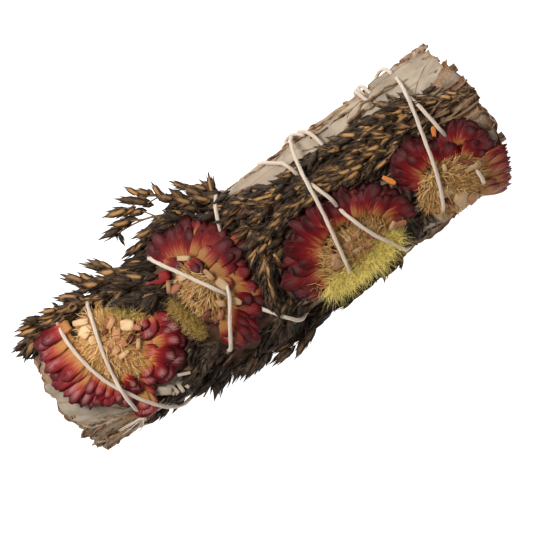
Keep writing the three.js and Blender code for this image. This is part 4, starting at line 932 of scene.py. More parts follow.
class Finish:
    """A material whose nodes are added one by one."""

    def __init__(self, name, roughness, shine=0.5):
        self.material = bpy.data.materials.new(name)
        self.material.use_nodes = True
        self.nodes = self.material.node_tree.nodes
        self.links = self.material.node_tree.links
        self.shader = self.nodes["Principled BSDF"]
        self.shader.inputs["Roughness"].default_value = roughness
        self.shader.inputs["Specular IOR Level"].default_value = shine

    def node(self, kind, **settings):
        made = self.nodes.new(kind)
        for name, value in settings.items():
            setattr(made, name, value)
        return made

    def feed(self, socket, value):
        if isinstance(value, bpy.types.NodeSocket):
            self.links.new(value, socket)
        else:
            socket.default_value = value

    def body(self):
        return self.node("ShaderNodeTexCoord").outputs["Object"]

    def tone(self):
        return self.node("ShaderNodeAttribute", attribute_name="Tone").outputs["Fac"]

    def own_place(self):
        return self.node("ShaderNodeUVMap", uv_map="Place").outputs["UV"]

    def place(self, stretch):
        """The place on the shape's own copy, stretched."""
        mapping = self.node("ShaderNodeMapping")
        self.feed(mapping.inputs["Vector"], self.own_place())
        mapping.inputs["Scale"].default_value = stretch
        return mapping.outputs["Vector"]

    def across_and_along(self):
        split = self.node("ShaderNodeSeparateXYZ")
        self.feed(split.inputs[0], self.own_place())
        return split.outputs["X"], split.outputs["Y"]

    def noise(self, vector, scale, detail=3.0, roughness=0.55):
        made = self.node("ShaderNodeTexNoise")
        self.feed(made.inputs["Vector"], vector)
        made.inputs["Scale"].default_value = scale
        made.inputs["Detail"].default_value = detail
        made.inputs["Roughness"].default_value = roughness
        return made.outputs["Fac"]

    def cells(self, vector, scale):
        made = self.node("ShaderNodeTexVoronoi", feature="DISTANCE_TO_EDGE")
        self.feed(made.inputs["Vector"], vector)
        made.inputs["Scale"].default_value = scale
        return made.outputs["Distance"]

    def math(self, operation, first, second):
        made = self.node("ShaderNodeMath", operation=operation)
        self.feed(made.inputs[0], first)
        self.feed(made.inputs[1], second)
        return made.outputs[0]

    def times(self, first, second):
        return self.math("MULTIPLY", first, second)

    def plus(self, first, second):
        return self.math("ADD", first, second)

    def off_middle(self, across):
        """How far a place lies from the middle line of its shape, at most a half."""
        return self.math("ABSOLUTE", self.math("SUBTRACT", across, 0.5), 0)

    def graded(self, value, low, high, to_low=0.0, to_high=1.0):
        """The value's range from low to high spread smoothly over another one."""
        made = self.node("ShaderNodeMapRange", interpolation_type="SMOOTHSTEP")
        for socket, number in zip(made.inputs, (value, low, high, to_low, to_high)):
            self.feed(socket, number)
        return made.outputs[0]

    def mix(self, share, first, second, way="MIX"):
        made = self.node("ShaderNodeMix", data_type="RGBA", blend_type=way)
        self.feed(made.inputs[0], share)
        self.feed(made.inputs[6], first)
        self.feed(made.inputs[7], second)
        return made.outputs[2]

    def ramp(self, share, stops, light=1):
        made = self.node("ShaderNodeValToRGB")
        self.feed(made.inputs[0], share)
        stopped = made.color_ramp.elements
        while len(stopped) < len(stops):
            stopped.new(0.5)
        for element, (position, colour) in zip(stopped, stops):
            element.position = position
            element.color = dimmed(colour, light)
        return made.outputs[0]

    def bump(self, height, distance, strength=1.0):
        made = self.node("ShaderNodeBump")
        self.feed(made.inputs["Height"], height)
        made.inputs["Distance"].default_value = distance
        made.inputs["Strength"].default_value = strength
        self.feed(self.shader.inputs["Normal"], made.outputs[0])

    def finished(self, colour):
        self.feed(self.shader.inputs["Base Color"], colour)
        return self.material


def sage_felt():
    """Felted grey-beige leaf with faint veins and browned margins; its tone is the nearness of a margin
    and, in the valleys of its folds, painted shade, and both brown it.
    """
    finish = Finish("sage_felt", 0.9, 0.2)
    body = finish.body()
    across, along = finish.across_and_along()
    patches = finish.noise(body, 110, 4)
    colour = finish.mix(finish.graded(patches, 0.38, 0.66), SAGE_PALE, SAGE_GREY)
    rosy = finish.noise(body, 60, 3)
    colour = finish.mix(finish.graded(rosy, 0.5, 0.75, 0, 0.6), colour, SAGE_ROSE)
    midrib = finish.off_middle(across)
    colour = finish.mix(finish.graded(midrib, 0.006, 0.03, 0.4, 0), colour, SAGE_BROWN)
    # Browned where the tone is high: at the margins, and as painted shade in the fold valleys
    ragged = finish.plus(finish.tone(), finish.times(finish.noise(body, 300, 4), 0.6))
    colour = finish.mix(finish.graded(ragged, 1.05, 1.4, 0, 0.8), colour, SAGE_BROWN)
    waved = finish.plus(finish.times(along, 90), finish.times(finish.noise(body, 260, 2), 14))
    veins = finish.times(finish.math("SINE", waved, 0), 0.08)
    felt = finish.times(finish.noise(body, 2600, 3), 0.4)
    creases = finish.times(finish.noise(body, 420, 4), 1.6)
    finish.bump(finish.plus(finish.plus(felt, creases), veins), 0.0002, 0.6)
    return finish.finished(colour)


def leaf_margin():
    """The crinkled, browned margin of a dry leaf."""
    finish = Finish("leaf_margin", 0.85)
    body = finish.body()
    patches = finish.noise(body, 320, 5)
    colour = finish.ramp(patches, [
        (0.3, SAGE_DEEP), (0.4, SAGE_BROWN), (0.5, STALK_TAN), (0.62, SAGE_GREY),
    ])
    finish.bump(finish.noise(body, 1400, 4), 0.0003, 0.8)
    return finish.finished(colour)


def shade_painted_leaf():
    """Painted shade: dark brown felt for the inside of the roll and the leaves under the sprays."""
    finish = Finish("shade_painted_leaf", 0.95)
    patches = finish.noise(finish.body(), 240, 4)
    finish.bump(patches, 0.0006, 0.8)
    return finish.finished(finish.mix(patches, SAGE_DEEP, SAGE_BROWN))


def torn_leaf():
    """Crumpled inner leaves at the ends, browner towards their torn edge; the tone is the edge's."""
    finish = Finish("torn_leaf", 0.92)
    body = finish.body()
    patches = finish.noise(body, 170, 5)
    colour = finish.mix(finish.graded(patches, 0.35, 0.65), SAGE_GREY, SAGE_TAN)
    veins = finish.cells(body, 800)
    colour = finish.mix(finish.graded(veins, 0, 0.12, 0.5, 0), colour, SAGE_BROWN)
    ragged = finish.plus(finish.tone(), finish.times(patches, 0.9))
    colour = finish.mix(finish.graded(ragged, 0.35, 1.1), colour, SAGE_BROWN)
    finish.bump(finish.plus(finish.noise(body, 1500, 4), patches), 0.0003, 0.8)
    return finish.finished(colour)


def dry_stalk():
    """Woody stalk with streaks along it."""
    finish = Finish("dry_stalk", 0.75)
    streaks = finish.noise(finish.place((9, 3, 1)), 3, 4)
    colour = finish.mix(finish.graded(streaks, 0.35, 0.65), STALK_BROWN, STALK_TAN)
    finish.bump(streaks, 0.0003, 0.8)
    return finish.finished(colour)


def husk_skin():
    """Seed husk: near-black and olive with a tan lens on its belly; its tone is how bright it is, and low
    tones, partly painted shade, darken it and hide the lens.
    """
    finish = Finish("husk_skin", 0.5, 0.25)
    across, along = finish.across_and_along()
    tone = finish.tone()
    grain = finish.noise(finish.body(), 900, 4)
    streaks = finish.noise(finish.place((7, 1.2, 1)), 3, 3)
    blurred = finish.plus(across, finish.graded(streaks, 0.3, 0.7, -0.15, 0.15))
    from_root = finish.graded(along, 0.04, 0.22)
    to_tip = finish.graded(along, 0.45, 0.85, 1, 0)
    brightness = finish.graded(tone, 0.15, 0.75, 0.05, 1)
    lens = finish.times(finish.graded(blurred, 0.22, 0.8, 1, 0), from_root)
    lens = finish.times(finish.times(lens, to_tip), brightness)
    mixed = finish.plus(finish.times(grain, 0.5), finish.times(streaks, 0.5))
    scales = finish.mix(finish.graded(mixed, 0.42, 0.66), HUSK_BLACK, HUSK_BROWN)
    # Low tones turn the scales near black, partly as painted shade deep in the bunch
    scales = finish.mix(finish.graded(tone, 0, 0.4, 0.65, 0), scales, HUSK_BLACK)
    finish.bump(streaks, 0.0002, 0.7)
    return finish.finished(finish.mix(lens, scales, HUSK_TAN))


def bract_gloss(flower, light):
    """Papery bract: gold at the root, then crimson, dark at the tip, streaked, with a painted pink
    highlight on its crown.
    """
    finish = Finish(flower + "_gloss", 0.42, 0.16)
    across, along = finish.across_and_along()
    streaks = finish.noise(finish.place((10, 0.8, 1)), 2.2, 3)
    rim = finish.off_middle(across)
    dark_rim = finish.times(finish.graded(rim, 0.3, 0.5, 0, 0.3), finish.graded(along, 0.4, 0.8))
    depth = finish.math("SUBTRACT", finish.times(finish.tone(), 0.9), 0.55)
    shifted = finish.plus(finish.times(along, 0.92), finish.graded(streaks, 0.3, 0.7, -0.14, 0.14))
    shifted = finish.plus(finish.plus(shifted, dark_rim), depth)
    colour = finish.ramp(finish.times(shifted, 0.8), [
        (0.0, BRACT_GOLD), (0.2, BRACT_GOLD), (0.33, BRACT_AMBER), (0.45, BRACT_CRIMSON),
        (0.68, BRACT_MAROON), (0.92, BRACT_NIGHT),
    ], light)
    wavy_rim = finish.plus(rim, finish.graded(streaks, 0.4, 0.6, 0, 0.09))
    fine = finish.noise(finish.place((15, 0.5, 1)), 2.6, 3)
    # Painted highlight: a pale pink streaky patch on the crown near the tip, strongest on the brightest
    # flower
    painted_highlight = finish.graded(finish.noise(finish.body(), 230, 2), 0.36, 0.52)
    for limit in (
        finish.graded(along, 0.46, 0.72),
        finish.graded(along, 0.76, 0.98, 1, 0),
        finish.graded(wavy_rim, 0.04, 0.32, 0.95 * light**3, 0),
        finish.graded(fine, 0.4, 0.58),
    ):
        painted_highlight = finish.times(painted_highlight, limit)
    colour = finish.mix(painted_highlight, colour, dimmed(BRACT_HIGHLIGHT_PINK, light))
    finish.bump(streaks, 0.0003, 0.7)
    return finish.finished(colour)


def cut_bract_paper(flower, light):
    """Bract cut across: its tone runs from cream over tan and rose to the dark of a hollow one, which is
    painted shade.
    """
    finish = Finish(flower + "_cut", 0.5, 0.15)
    across, along = finish.across_and_along()
    streaks = finish.noise(finish.place((9, 0.8, 1)), 2.2, 3)
    shifted = finish.tone()
    for share in (
        finish.graded(streaks, 0.3, 0.7, -0.1, 0.1),
        finish.graded(finish.off_middle(across), 0.3, 0.5, 0, 0.12),
        finish.graded(along, 0, 0.5, 0.14, 0),
    ):
        shifted = finish.plus(shifted, share)
    colour = finish.ramp(shifted, [
        (0.05, CUT_CREAM), (0.35, CUT_TAN), (0.68, CUT_ROSE), (0.95, BRACT_NIGHT),
    ], light)
    finish.bump(streaks, 0.00014, 0.6)
    return finish.finished(colour)


def disc_straw(flower, light):
    """Chaffy straws of a flower's centre."""
    finish = Finish(flower + "_straw", 0.7, 0.2)
    grain = finish.noise(finish.body(), 700, 3)
    share = finish.plus(finish.times(grain, 0.5), finish.times(finish.tone(), 0.6))
    finish.bump(grain, 0.0001, 0.6)
    shade, shine = dimmed(STRAW_DARK, light), dimmed(STRAW_LIGHT, light)
    return finish.finished(finish.mix(finish.graded(share, 0.15, 0.8), shade, shine))


def lemon_down():
    """Fine seed hair, olive at the root and lemon at the tip."""
    finish = Finish("lemon_down", 0.6)
    _, along = finish.across_and_along()
    share = finish.plus(finish.times(along, 0.3), finish.times(finish.tone(), 0.8))
    return finish.finished(finish.mix(finish.graded(share, 0.1, 0.9), DOWN_OLIVE, DOWN_LEMON))


def petal_skin(name, roughness, base, streak, most):
    """A petal's colour with streaks of another along it."""
    finish = Finish(name, roughness)
    streaks = finish.noise(finish.place((8, 1, 1)), 2.5, 3)
    finish.bump(streaks, 0.0001, 0.6)
    return finish.finished(finish.mix(finish.graded(streaks, 0.3, 0.7, 0, most), base, streak))


def petal_orange():
    return petal_skin("petal_orange", 0.5, PETAL_ORANGE, BRACT_AMBER, 0.5)


def red_petal_gloss():
    return petal_skin("red_petal_gloss", 0.45, PETAL_RED, BRACT_CRIMSON, 1)


def cotton():
    """Off-white twisted cotton, a little soiled, with painted shade in the grooves between its plies."""
    finish = Finish("cotton", 0.85)
    body = finish.body()
    soiled = finish.graded(finish.noise(body, 130, 3), 0.45, 0.8, 0, 0.6)
    # Painted shade: darker where the tone is low, in the grooves between the plies
    groove = finish.graded(finish.tone(), 0, 1, 0.35, 0)
    colour = finish.mix(soiled, STRING_PALE, STRING_DIRT_AND_SHADE)
    colour = finish.mix(groove, colour, STRING_DIRT_AND_SHADE)
    finish.bump(finish.noise(body, 3000, 3), 0.0001, 0.8)
    finish.shader.inputs["Sheen Weight"].default_value = 0.3
    return finish.finished(colour)


# The pieces


def ripple(u, v, random, waves, reach):
    """Smooth seeded wrinkles over a sheet."""
    height = np.zeros(np.broadcast(u, v).shape)
    for _ in range(waves):
        along, across = random.uniform(-reach, reach, 2)
        height += np.sin(2 * np.pi * (along * u + across * v) + random.uniform(0, 2 * np.pi))
    return height / math.sqrt(waves)


def ripples(u, v, random, layers):
    return sum(height * ripple(u, v, random, waves, reach) for height, waves, reach in layers)


def along_and_across(steps):
    """Where a sheet's points lie on it: along it from 0 to 1, and across it from its middle line."""
    return np.linspace(0, 1, steps[0] + 1)[:, None], np.linspace(-0.5, 0.5, steps[1] + 1)[None, :]


def leaf_sheet(grid, thickness, along, across, tone):
    """A leaf of this thickness on its grid of points, and the tone of both its sides."""
    places = np.stack(np.broadcast_arrays(across + 0.5, along), axis=-1)
    tone = np.broadcast_to(tone, grid.shape[:2]).ravel()
    return sheet(grid, thickness, places), np.concatenate([tone, tone])


def sage_leaf(start, end, angles, width, lift, blunt, unrest, random):
    """A leaf laid along the roll, one long margin over the other, pleated, curled and torn at its edge."""
    along, across = along_and_across(LEAF_STEPS)
    side = np.sign(across)
    outline = np.sin(np.pi * (0.06 + 0.88 * along)) ** 0.5
    outline += (1 - outline) * np.where(along < 0.5, *blunt)
    ragged = 0.05 * ripple(along, side, random, 5, 3)
    ragged = ragged + 0.012 * ripple(along, across, random, 4, 14)
    wide = width * outline * (1 + unrest * ragged)
    torn = unrest * ripples(across, 0, random, LEAF_TEAR)
    px = between(start, end, along) + torn * (2 * along - 1) ** 9
    radius = roll_at(px)[0] * (1 + HEIGHT_SHARE) / 2
    around = between(*angles, along) + across * wide / radius
    edge = np.maximum(np.abs(2 * across) ** 6, np.abs(2 * along - 1) ** 18)
    wander = 0.35 * ripple(along, 0, random, 3, 1.2)
    wander = wander + random.uniform(0, 1) + random.uniform(-1.2, 1.2) * along
    pleats = 0.5 - np.abs(np.sin(np.pi * (PLEATS * across + wander)))
    folds = PLEAT_DEPTH * pleats + 0.24 * ripple(0.6 * along, across, random, 4, 2.4)
    folds = folds + 0.05 * ripple(along, across, random, 6, 10)
    curled = np.maximum(0, 0.3 + 0.9 * ripple(along, side, random, 5, 6))
    curl = CURL * unrest * np.abs(2 * across) ** 10 * curled
    rib = -RIB_DEPTH * np.exp(-((across / RIB_REACH) ** 2))
    height = lift + SHINGLE * across + folds * (1 - 0.5 * edge) + curl + rib
    grid = on_roll(px, around, np.clip(height, *LEAF_HEIGHTS))
    grid[..., 2] = np.maximum(grid[..., 2], LOWEST + LEAF_THICKNESS)
    # The tone: nearness of a margin, and painted shade in the valleys of the folds
    browned = np.maximum(edge, 0.9 * smoothstep(-folds, 0.3, 0.7))
    return grid, *leaf_sheet(grid, LEAF_THICKNESS, along, across, browned)


def crumpled(paths, radius, random, least=0.12):
    """Strands along paths, thick and thin by turns."""
    paths = np.asarray(paths)
    steps = np.linspace(0, 1, paths.shape[1])
    swell = np.stack([0.55 + 0.4 * ripple(steps, 0, random, 5, 6) for _ in paths])
    shaken = paths + 0.14 * radius * random.normal(size=paths.shape)
    radii = radius * np.clip(swell, least, 1.3)
    shaken[..., 2] = np.maximum(shaken[..., 2], LOWEST + radii)
    return strands(shaken, radii, sides=6, lobes=3, lobe_depth=0.25, twist=0.4)


def flat_laid(shape, middle, heading, length, width):
    """A shape's points laid level round a middle, its length along the heading in degrees."""
    heading = math.radians(heading)
    across, along, rise = shape.points.T
    reach = (along - 0.5) * length
    side = across * width
    return np.array(middle) + np.stack([
        reach * math.cos(heading) - side * math.sin(heading),
        reach * math.sin(heading) + side * math.cos(heading),
        0.3 * along + rise * width,
    ], axis=-1)


def leaves_to_lay(random):
    """Each leaf's start, end, angle at both, width, lift, finish and unrest, first all round the roll."""
    leaves = []
    for row, (x, count) in enumerate(LEAF_ROWS):
        for k in range(count):
            angle = 2 * np.pi * (k + 0.5 * (row % 2) + random.uniform(-0.15, 0.15)) / count
            middle = x + random.uniform(-4, 4)
            half = random.uniform(*LEAF_LENGTH) / 2
            start = max(middle - half, LEFT_END - random.uniform(0, LEAF_REACH) * abs(math.cos(angle)))
            end = min(middle + half, RIGHT_END + random.uniform(0, LEAF_REACH) * abs(math.cos(angle)))
            skew = random.uniform(-0.1, 0.15)
            width = random.uniform(*LEAF_WIDTH)
            lift = random.uniform(*LEAF_LIFT)
            leaves.append((start, end, (angle - skew, angle + skew), width, lift, FELT, 1))
    chosen = ((TOP_LEAVES, FELT, CALM), (BROWN_LEAVES, TORN, 1), (SHADED_LEAVES, SHADED, 1))
    for rows, finish, unrest in chosen:
        for start, end, first, last, width, lift in rows:
            angles = (math.radians(first), math.radians(last))
            leaves.append((start, end, angles, width, lift, finish, unrest))
    return leaves


def sage_leaves(scrap):
    """The outer leaves with their crinkled margins, and the scraps of leaf over the sprays."""
    random = np.random.default_rng(LEAF_SEED)
    heap = Heap()
    for start, end, angles, width, lift, finish, unrest in leaves_to_lay(random):
        cut = (start < LEFT_END + 1, end > RIGHT_END - 1)
        blunt = [share if at_end else PLAIN_BLUNTNESS for share, at_end in zip(CUT_BLUNTNESS, cut)]
        grid, leaf, tone = sage_leaf(start, end, angles, width, lift, blunt, unrest, random)
        heap.add(leaf, tone=tone, finish=finish)
        heap.add(crumpled([grid[:, 0]], HIDDEN_MARGIN, random), finish=MARGIN)
        heap.add(crumpled([grid[:, -1]], unrest * random.uniform(*TOP_MARGIN), random), finish=MARGIN)
        for rim, at_end in zip((grid[0], grid[-1]), cut):
            if at_end:
                heap.add(crumpled([rim], END_MARGIN, random), finish=MARGIN)
    share = np.linspace(0, 1, 50)
    for start, end, first, last, radius in MARGINS:
        angle = np.radians(between(first, last, share)) + 0.04 * ripple(share, 0, random, 4, 4)
        height = MARGIN_HEIGHT + 0.6 * radius + 0.3 * ripple(share, 0, random, 4, 5)
        path = on_roll(between(start, end, share), angle, height)
        heap.add(crumpled([path], radius, random, 0.6), finish=MARGIN)
    for x, y, heading, length, width, lift in SCRAPS:
        heap.add(scrap, flat_laid(scrap, (x, y, top_at(x, y) + lift), heading, length, width))
    return heap.piece("sage_leaves", [sage_felt(), leaf_margin(), torn_leaf(), shade_painted_leaf()])


def sage_core():
    """The inside of the roll, a cylinder swelled to the roll's form, coloured dark as painted shade in the
    gaps between the leaves.
    """
    deselect()
    bpy.ops.mesh.primitive_cylinder_add(vertices=48, radius=1, depth=1, end_fill_type="TRIFAN")
    core = bpy.context.object
    core.name = "sage_core"
    bpy.ops.object.mode_set(mode="EDIT")
    bpy.ops.mesh.select_all(action="SELECT")
    bpy.ops.transform.rotate(value=math.pi / 2, orient_axis="Y", center_override=(0, 0, 0))
    for cut in range(1, CORE_SECTIONS):
        bpy.ops.mesh.select_all(action="SELECT")
        bpy.ops.mesh.bisect(plane_co=(cut / CORE_SECTIONS - 0.5, 0, 0), plane_no=(1, 0, 0))
    bpy.ops.object.mode_set(mode="OBJECT")
    for corner in core.data.vertices:
        x = between(LEFT_END + CORE_INSET, RIGHT_END - CORE_INSET, corner.co.x + 0.5)
        half, tall, axis = roll_at(x)
        sink = 1 - CORE_SINK / half
        corner.co = Vector((x, corner.co.y * half * sink, axis + corner.co.z * tall * sink)) * MM
    core.data.shade_smooth()
    core.data.materials.append(shade_painted_leaf())
    return core


def torn_tip(end, outward, ring, k, random):
    """One leaf of a ring of torn tips: its grid of points, its sheet and the nearness of its torn edge."""
    share, count, longest = ring
    along, across = along_and_across(TIP_STEPS)
    reach = random.uniform(0.4, 1) * longest
    middle = 2 * np.pi * (k + random.uniform(0, 0.8)) / count
    around = middle + across * (2 * np.pi / count * random.uniform(0.95, 1.25))
    slanted = 0.12 + 0.95 * np.cos(around) ** 2
    torn = reach * (1 + ripples(across, 0, random, TIP_TEAR)) * np.maximum(slanted, 1 - share)
    px = end + outward * (along * (END_DEPTH + torn) - END_DEPTH)
    half, tall, axis = roll_at(px)
    crumple = ripples(along, across, random, TIP_CRUMPLE)
    rim = share + crumple * (0.3 + 0.7 * along) + 0.05 * across
    sideways = half * rim * np.sin(around)
    up = np.maximum(axis + tall * rim * np.cos(around), LOWEST + 0.4)
    grid = np.stack(np.broadcast_arrays(px, sideways, up), axis=-1)
    return grid, *leaf_sheet(grid, TIP_THICKNESS, along, across, along**4)


def torn_tips():
    """Rolled inner leaves standing out of both ends in crumpled rings."""
    random = np.random.default_rng(TIP_SEED)
    heap = Heap()
    for end, outward in ((LEFT_END, -1), (RIGHT_END, 1)):
        for ring in END_RINGS:
            for k in range(ring[1]):
                grid, tip, tone = torn_tip(end, outward, ring, k, random)
                heap.add(tip, tone=tone)
                heap.add(crumpled([grid[-1]], END_MARGIN, random), finish=MARGIN)
    return heap.piece("torn_leaf_tips", [torn_leaf(), leaf_margin()])


def hollow_stalk():
    """The ring of a stem cut across, lying a little slanted."""
    x, y, lift, radius = HOLLOW_STALK
    turn = np.linspace(0, 2 * np.pi, 17)
    across = y + 0.8 * radius * np.sin(turn)
    up = top_at(x, y) + lift + 0.3 * np.sin(turn)
    return strands([np.stack([x + radius * np.cos(turn), across, up], axis=-1)], 0.34, 6)


def sage_stalks():
    """Cut stalks that stand out of the right end, and thin ones lying on it."""
    random = np.random.default_rng(STALK_SEED)
    heap = Heap()
    half, tall, axis = roll_at(RIGHT_END)
    for share, angle, radius, reach in CUT_STALKS:
        across = half * share * math.sin(angle)
        up = axis + tall * share * math.cos(angle)
        path = np.linspace((RIGHT_END - END_DEPTH, across, up), (RIGHT_END + reach, across, up), 8)
        heap.add(strands([path], radius, sides=10, lobes=5, lobe_depth=0.12))
    share = np.linspace(0, 1, 24)
    for start, end, first, last, radius in LYING_STALKS:
        angle = np.radians(between(first, last, share)) + 0.015 * ripple(share, 0, random, 3, 2)
        height = STALK_LIFT + 0.4 * ripple(share, 0, random, 3, 2)
        path = on_roll(between(start, end, share), angle, height)
        stalk = strands([path], radius * (1 - 0.3 * share), sides=7, lobes=3, lobe_depth=0.15, twist=0.05)
        heap.add(stalk, tone=random.uniform(0, 1))
    heap.add(hollow_stalk())
    return heap.piece("sage_stalks", [dry_stalk()])


def stood(shape, root, ahead, out, size):
    """A shape's points, its Z turned to ahead and its Y to out."""
    ahead = unit(ahead)
    side = unit(np.cross(out, ahead))
    back = np.cross(ahead, side)
    turned = np.stack([side, back, ahead])
    return root + (shape.points * size) @ turned


def stem_line(route):
    """A spray's stem through its plan points, each at its height above the roll."""
    route = np.array([(x, y, top_at(x, y) + lift) for x, y, lift in route])
    length = np.sum(np.linalg.norm(np.diff(route, axis=0), axis=1))
    return smooth_line(route, max(8, int(length / STEM_STEP)) + 1), length


def add_husk(heap, shapes, root, direction, size, bright, random):
    """A husk standing on its root, its belly turned roughly up."""
    facing = Z_AXIS + 0.45 * random.normal(size=3)
    shape = any_of(shapes, random)
    points = stood(shape, root, direction, facing, size)
    points[:, 2] = np.maximum(points[:, 2], LOWEST)
    heap.add(shape, points, tone=bright)


def spray_reach(x):
    """How far down and up across the stick the husks may reach at x."""
    return [np.interp(x, *zip(*reach)) for reach in (LOWER_REACH, UPPER_REACH)]


def head_outline(flower):
    """The plan outline round the bract tips of a flower and its disc."""
    x, y, long, tall = flower.disc
    points = [(x - long, y), (x + long, y), (x, y - tall), (x, y + tall)]
    points += [(tip_x, tip_y) for _, _, tip_x, tip_y, width, _ in flower.bracts if width > STRAY_WIDTH]
    return np.array(points)[geometry.convex_hull_2d(points)]


HEAD_OUTLINES = [head_outline(flower) for flower in FLOWERS]


def over_a_flower(x, y):
    """True where a plan point lies well inside a flower's outline."""
    for outline in HEAD_OUTLINES:
        edge = unit(np.roll(outline, -1, axis=0) - outline)
        inward = edge[:, 0] * (y - outline[:, 1]) - edge[:, 1] * (x - outline[:, 0])
        if np.all(inward > HEAD_RIM) or np.all(inward < -HEAD_RIM):
            return True
    return False


def husks_along(heap, stem, length, bare, bright, husks, random):
    """Clusters of husks on the upper side of a stem, each on its pedicel."""
    steps = len(stem) - 1
    count = int(length * (1 - bare) / CLUSTER_GAP) + 1
    for k in range(count):
        share = between(bare, 1, (k + random.uniform(0.2, 0.9)) / count)
        spot = min(int(share * steps), steps - 1)
        root = between(stem[spot], stem[spot + 1], share * steps - spot)
        lowest, highest = spray_reach(root[0])
        if not lowest < root[1] < highest:
            continue
        ahead = unit(stem[spot + 1] - stem[spot])
        side = unit(np.cross(ahead, Z_AXIS))
        up = np.cross(side, ahead)
        swing = CLUSTER_SWING * math.sin(k * GOLDEN_ANGLE + random.uniform(0, 1.4))
        out = side * math.sin(swing) + up * math.cos(swing)
        opening = CLUSTER_SPREAD * random.uniform(0.5, 1.5) * (1 - 0.5 * share)
        lead = ahead * math.cos(opening) + out * math.sin(opening)
        foot = root + lead * random.uniform(*PEDICEL) * (1 - 0.6 * share)
        if not over_a_flower(*root[:2]):
            pedicel = np.linspace(root, foot + 0.4 * lead, 3)
            heap.add(strands([pedicel], STEM_RADIUS * PEDICEL_SHARE, 4), finish=STALK)
        cluster(heap, foot, lead, side, (lowest, highest), bright, husks, random)


def cluster(heap, foot, lead, side, reach, bright, husks, random):
    """A cluster's husks over its part of the bed, darkened as painted shade; under a flower only the bed
    goes on, lower.
    """
    lowest, highest = reach
    clustered = random.choice(CLUSTER_HUSKS)
    for n in range(clustered + BED_HUSKS):
        in_bed = n >= clustered
        direction = unit(lead + HUSK_SPREAD * (1 + in_bed) * random.normal(size=3))
        start = foot - 1.2 * direction * random.uniform(0, 1)
        if in_bed:
            start = start + side * BED_SPREAD * random.normal() - Z_AXIS * random.uniform(*BED_DROP)
        long = HUSK_LENGTH * random.uniform(*HUSK_LENGTHS)
        wide = HUSK_GIRTH * long * random.uniform(*HUSK_GIRTHS)
        tip = start[1] + long * direction[1]
        if not (lowest < tip < highest and lowest < start[1] < highest):
            if in_bed:
                continue
            direction = unit(direction * (1, 0.1, 1))
        halfway, tip = start + 0.5 * long * direction, start + long * direction
        if over_a_flower(*halfway[:2]) or over_a_flower(*tip[:2]):
            if not in_bed:
                continue
            start = start - (0, 0, UNDER_HEAD_DROP)
        # Bed husks are darkened as painted shade
        tone = BED_SHADE_TONE * bright if in_bed else min(1, random.uniform(*HUSK_TONES) * bright)
        shapes = husks["bed" if in_bed else "open"]
        add_husk(heap, shapes, start, direction, np.array([wide, wide, long]), tone, random)


def placed_husk(heap, husks, stem, placed, random):
    """A husk that shows on its own, on its short stalk from the stem, between two lower ones."""
    tip_x, tip_y, root_x, root_y, width, bright = placed
    near = int(np.argmin(np.hypot(stem[:, 0] - root_x, stem[:, 1] - root_y)))
    lift = stem[near, 2] - top_at(stem[near, 0], stem[near, 1]) + PLACED_LIFT
    root = np.array([root_x, root_y, top_at(root_x, root_y) + lift])
    tip = np.array([tip_x, tip_y, top_at(tip_x, tip_y) + lift + random.uniform(-0.8, 0.8)])
    heap.add(strands([np.linspace(stem[max(0, near - 2)], root, 4)], STEM_RADIUS * 0.5, 4), finish=STALK)
    size = np.array([width / HUSK_SHAPE_WIDTH, width / HUSK_SHAPE_WIDTH, np.linalg.norm(tip - root)])
    lead = unit(tip - root)
    add_husk(heap, husks["open"], root, lead, size, bright, random)
    aside = np.array([-lead[1], lead[0], 0])
    for side in (-1, 1):
        direction = unit(lead + aside * side * random.uniform(0.08, 0.3) - (0, 0, 0.12))
        start = root - lead * random.uniform(0.5, 2.5) - (0, 0, BESIDE_DROP)
        smaller = size * (BESIDE_GIRTH, BESIDE_GIRTH, random.uniform(*BESIDE_LENGTHS))
        if not over_a_flower(*(start + smaller[2] * direction)[:2]):
            add_husk(heap, husks["open"], start, direction, smaller, bright * random.uniform(0, 1), random)


def filling_route(x, y, heading, length, lift):
    """Three plan points of a short spray that bends a little towards the stick's left end."""
    ahead = ahead_of(math.radians(heading))
    middle = np.array([x, y]) + ahead * 0.5 * length
    end = np.array([x, y]) + ahead * length + 0.08 * length * left_of(ahead)
    return [(x, y, lift - 0.6), (*middle, lift), (*end, lift - 0.2)]


def seed_spray(number, beside, placed, husks, finishes):
    """A long spray, the short ones that grow beside it and the husks that show one by one."""
    random = np.random.default_rng(SPRAY_SEED + number)
    heap = Heap()
    main_stem = stem_line(SPRAYS[number])[0]
    for k, (route, bright) in enumerate([(SPRAYS[number], SPRAY_BRIGHTNESS[number]), *beside]):
        stem, length = stem_line(route)
        bare = BARE_STALK if k == 0 and number < LONG_STALKED else 0.02
        heap.add(strands([stem], np.linspace(1.1, 0.5, len(stem)) * STEM_RADIUS, 6), finish=STALK)
        husks_along(heap, stem, length, bare, bright, husks, random)
    for husk in placed:
        placed_husk(heap, husks, main_stem, husk, random)
    return heap.piece(f"seed_spray_{number + 1}_husks", finishes)


def nearest_spray(x, y):
    """The long spray that passes nearest to a plan point."""
    apart = [min(math.hypot(px - x, py - y) for px, py, _ in stem_line(route)[0]) for route in SPRAYS]
    return int(np.argmin(apart))


def laid(place, shape, root, tip, width, low, high, tilt, bend=0.0):
    """A shape's points laid in plan from its root to its tip and pressed to the roll with its flower."""
    across, along, rise = shape.points.T
    across = across + bend * (along * along - along)
    ahead = tip - root
    aside = left_of(ahead) / np.linalg.norm(ahead)
    x = root[0] + along * ahead[0] + across * width * aside[0]
    y = root[1] + along * ahead[1] + across * width * aside[1]
    up = between(low, high, np.minimum(1, 1.3 * along)) + (rise + tilt * across) * width
    return place(x, y, up)


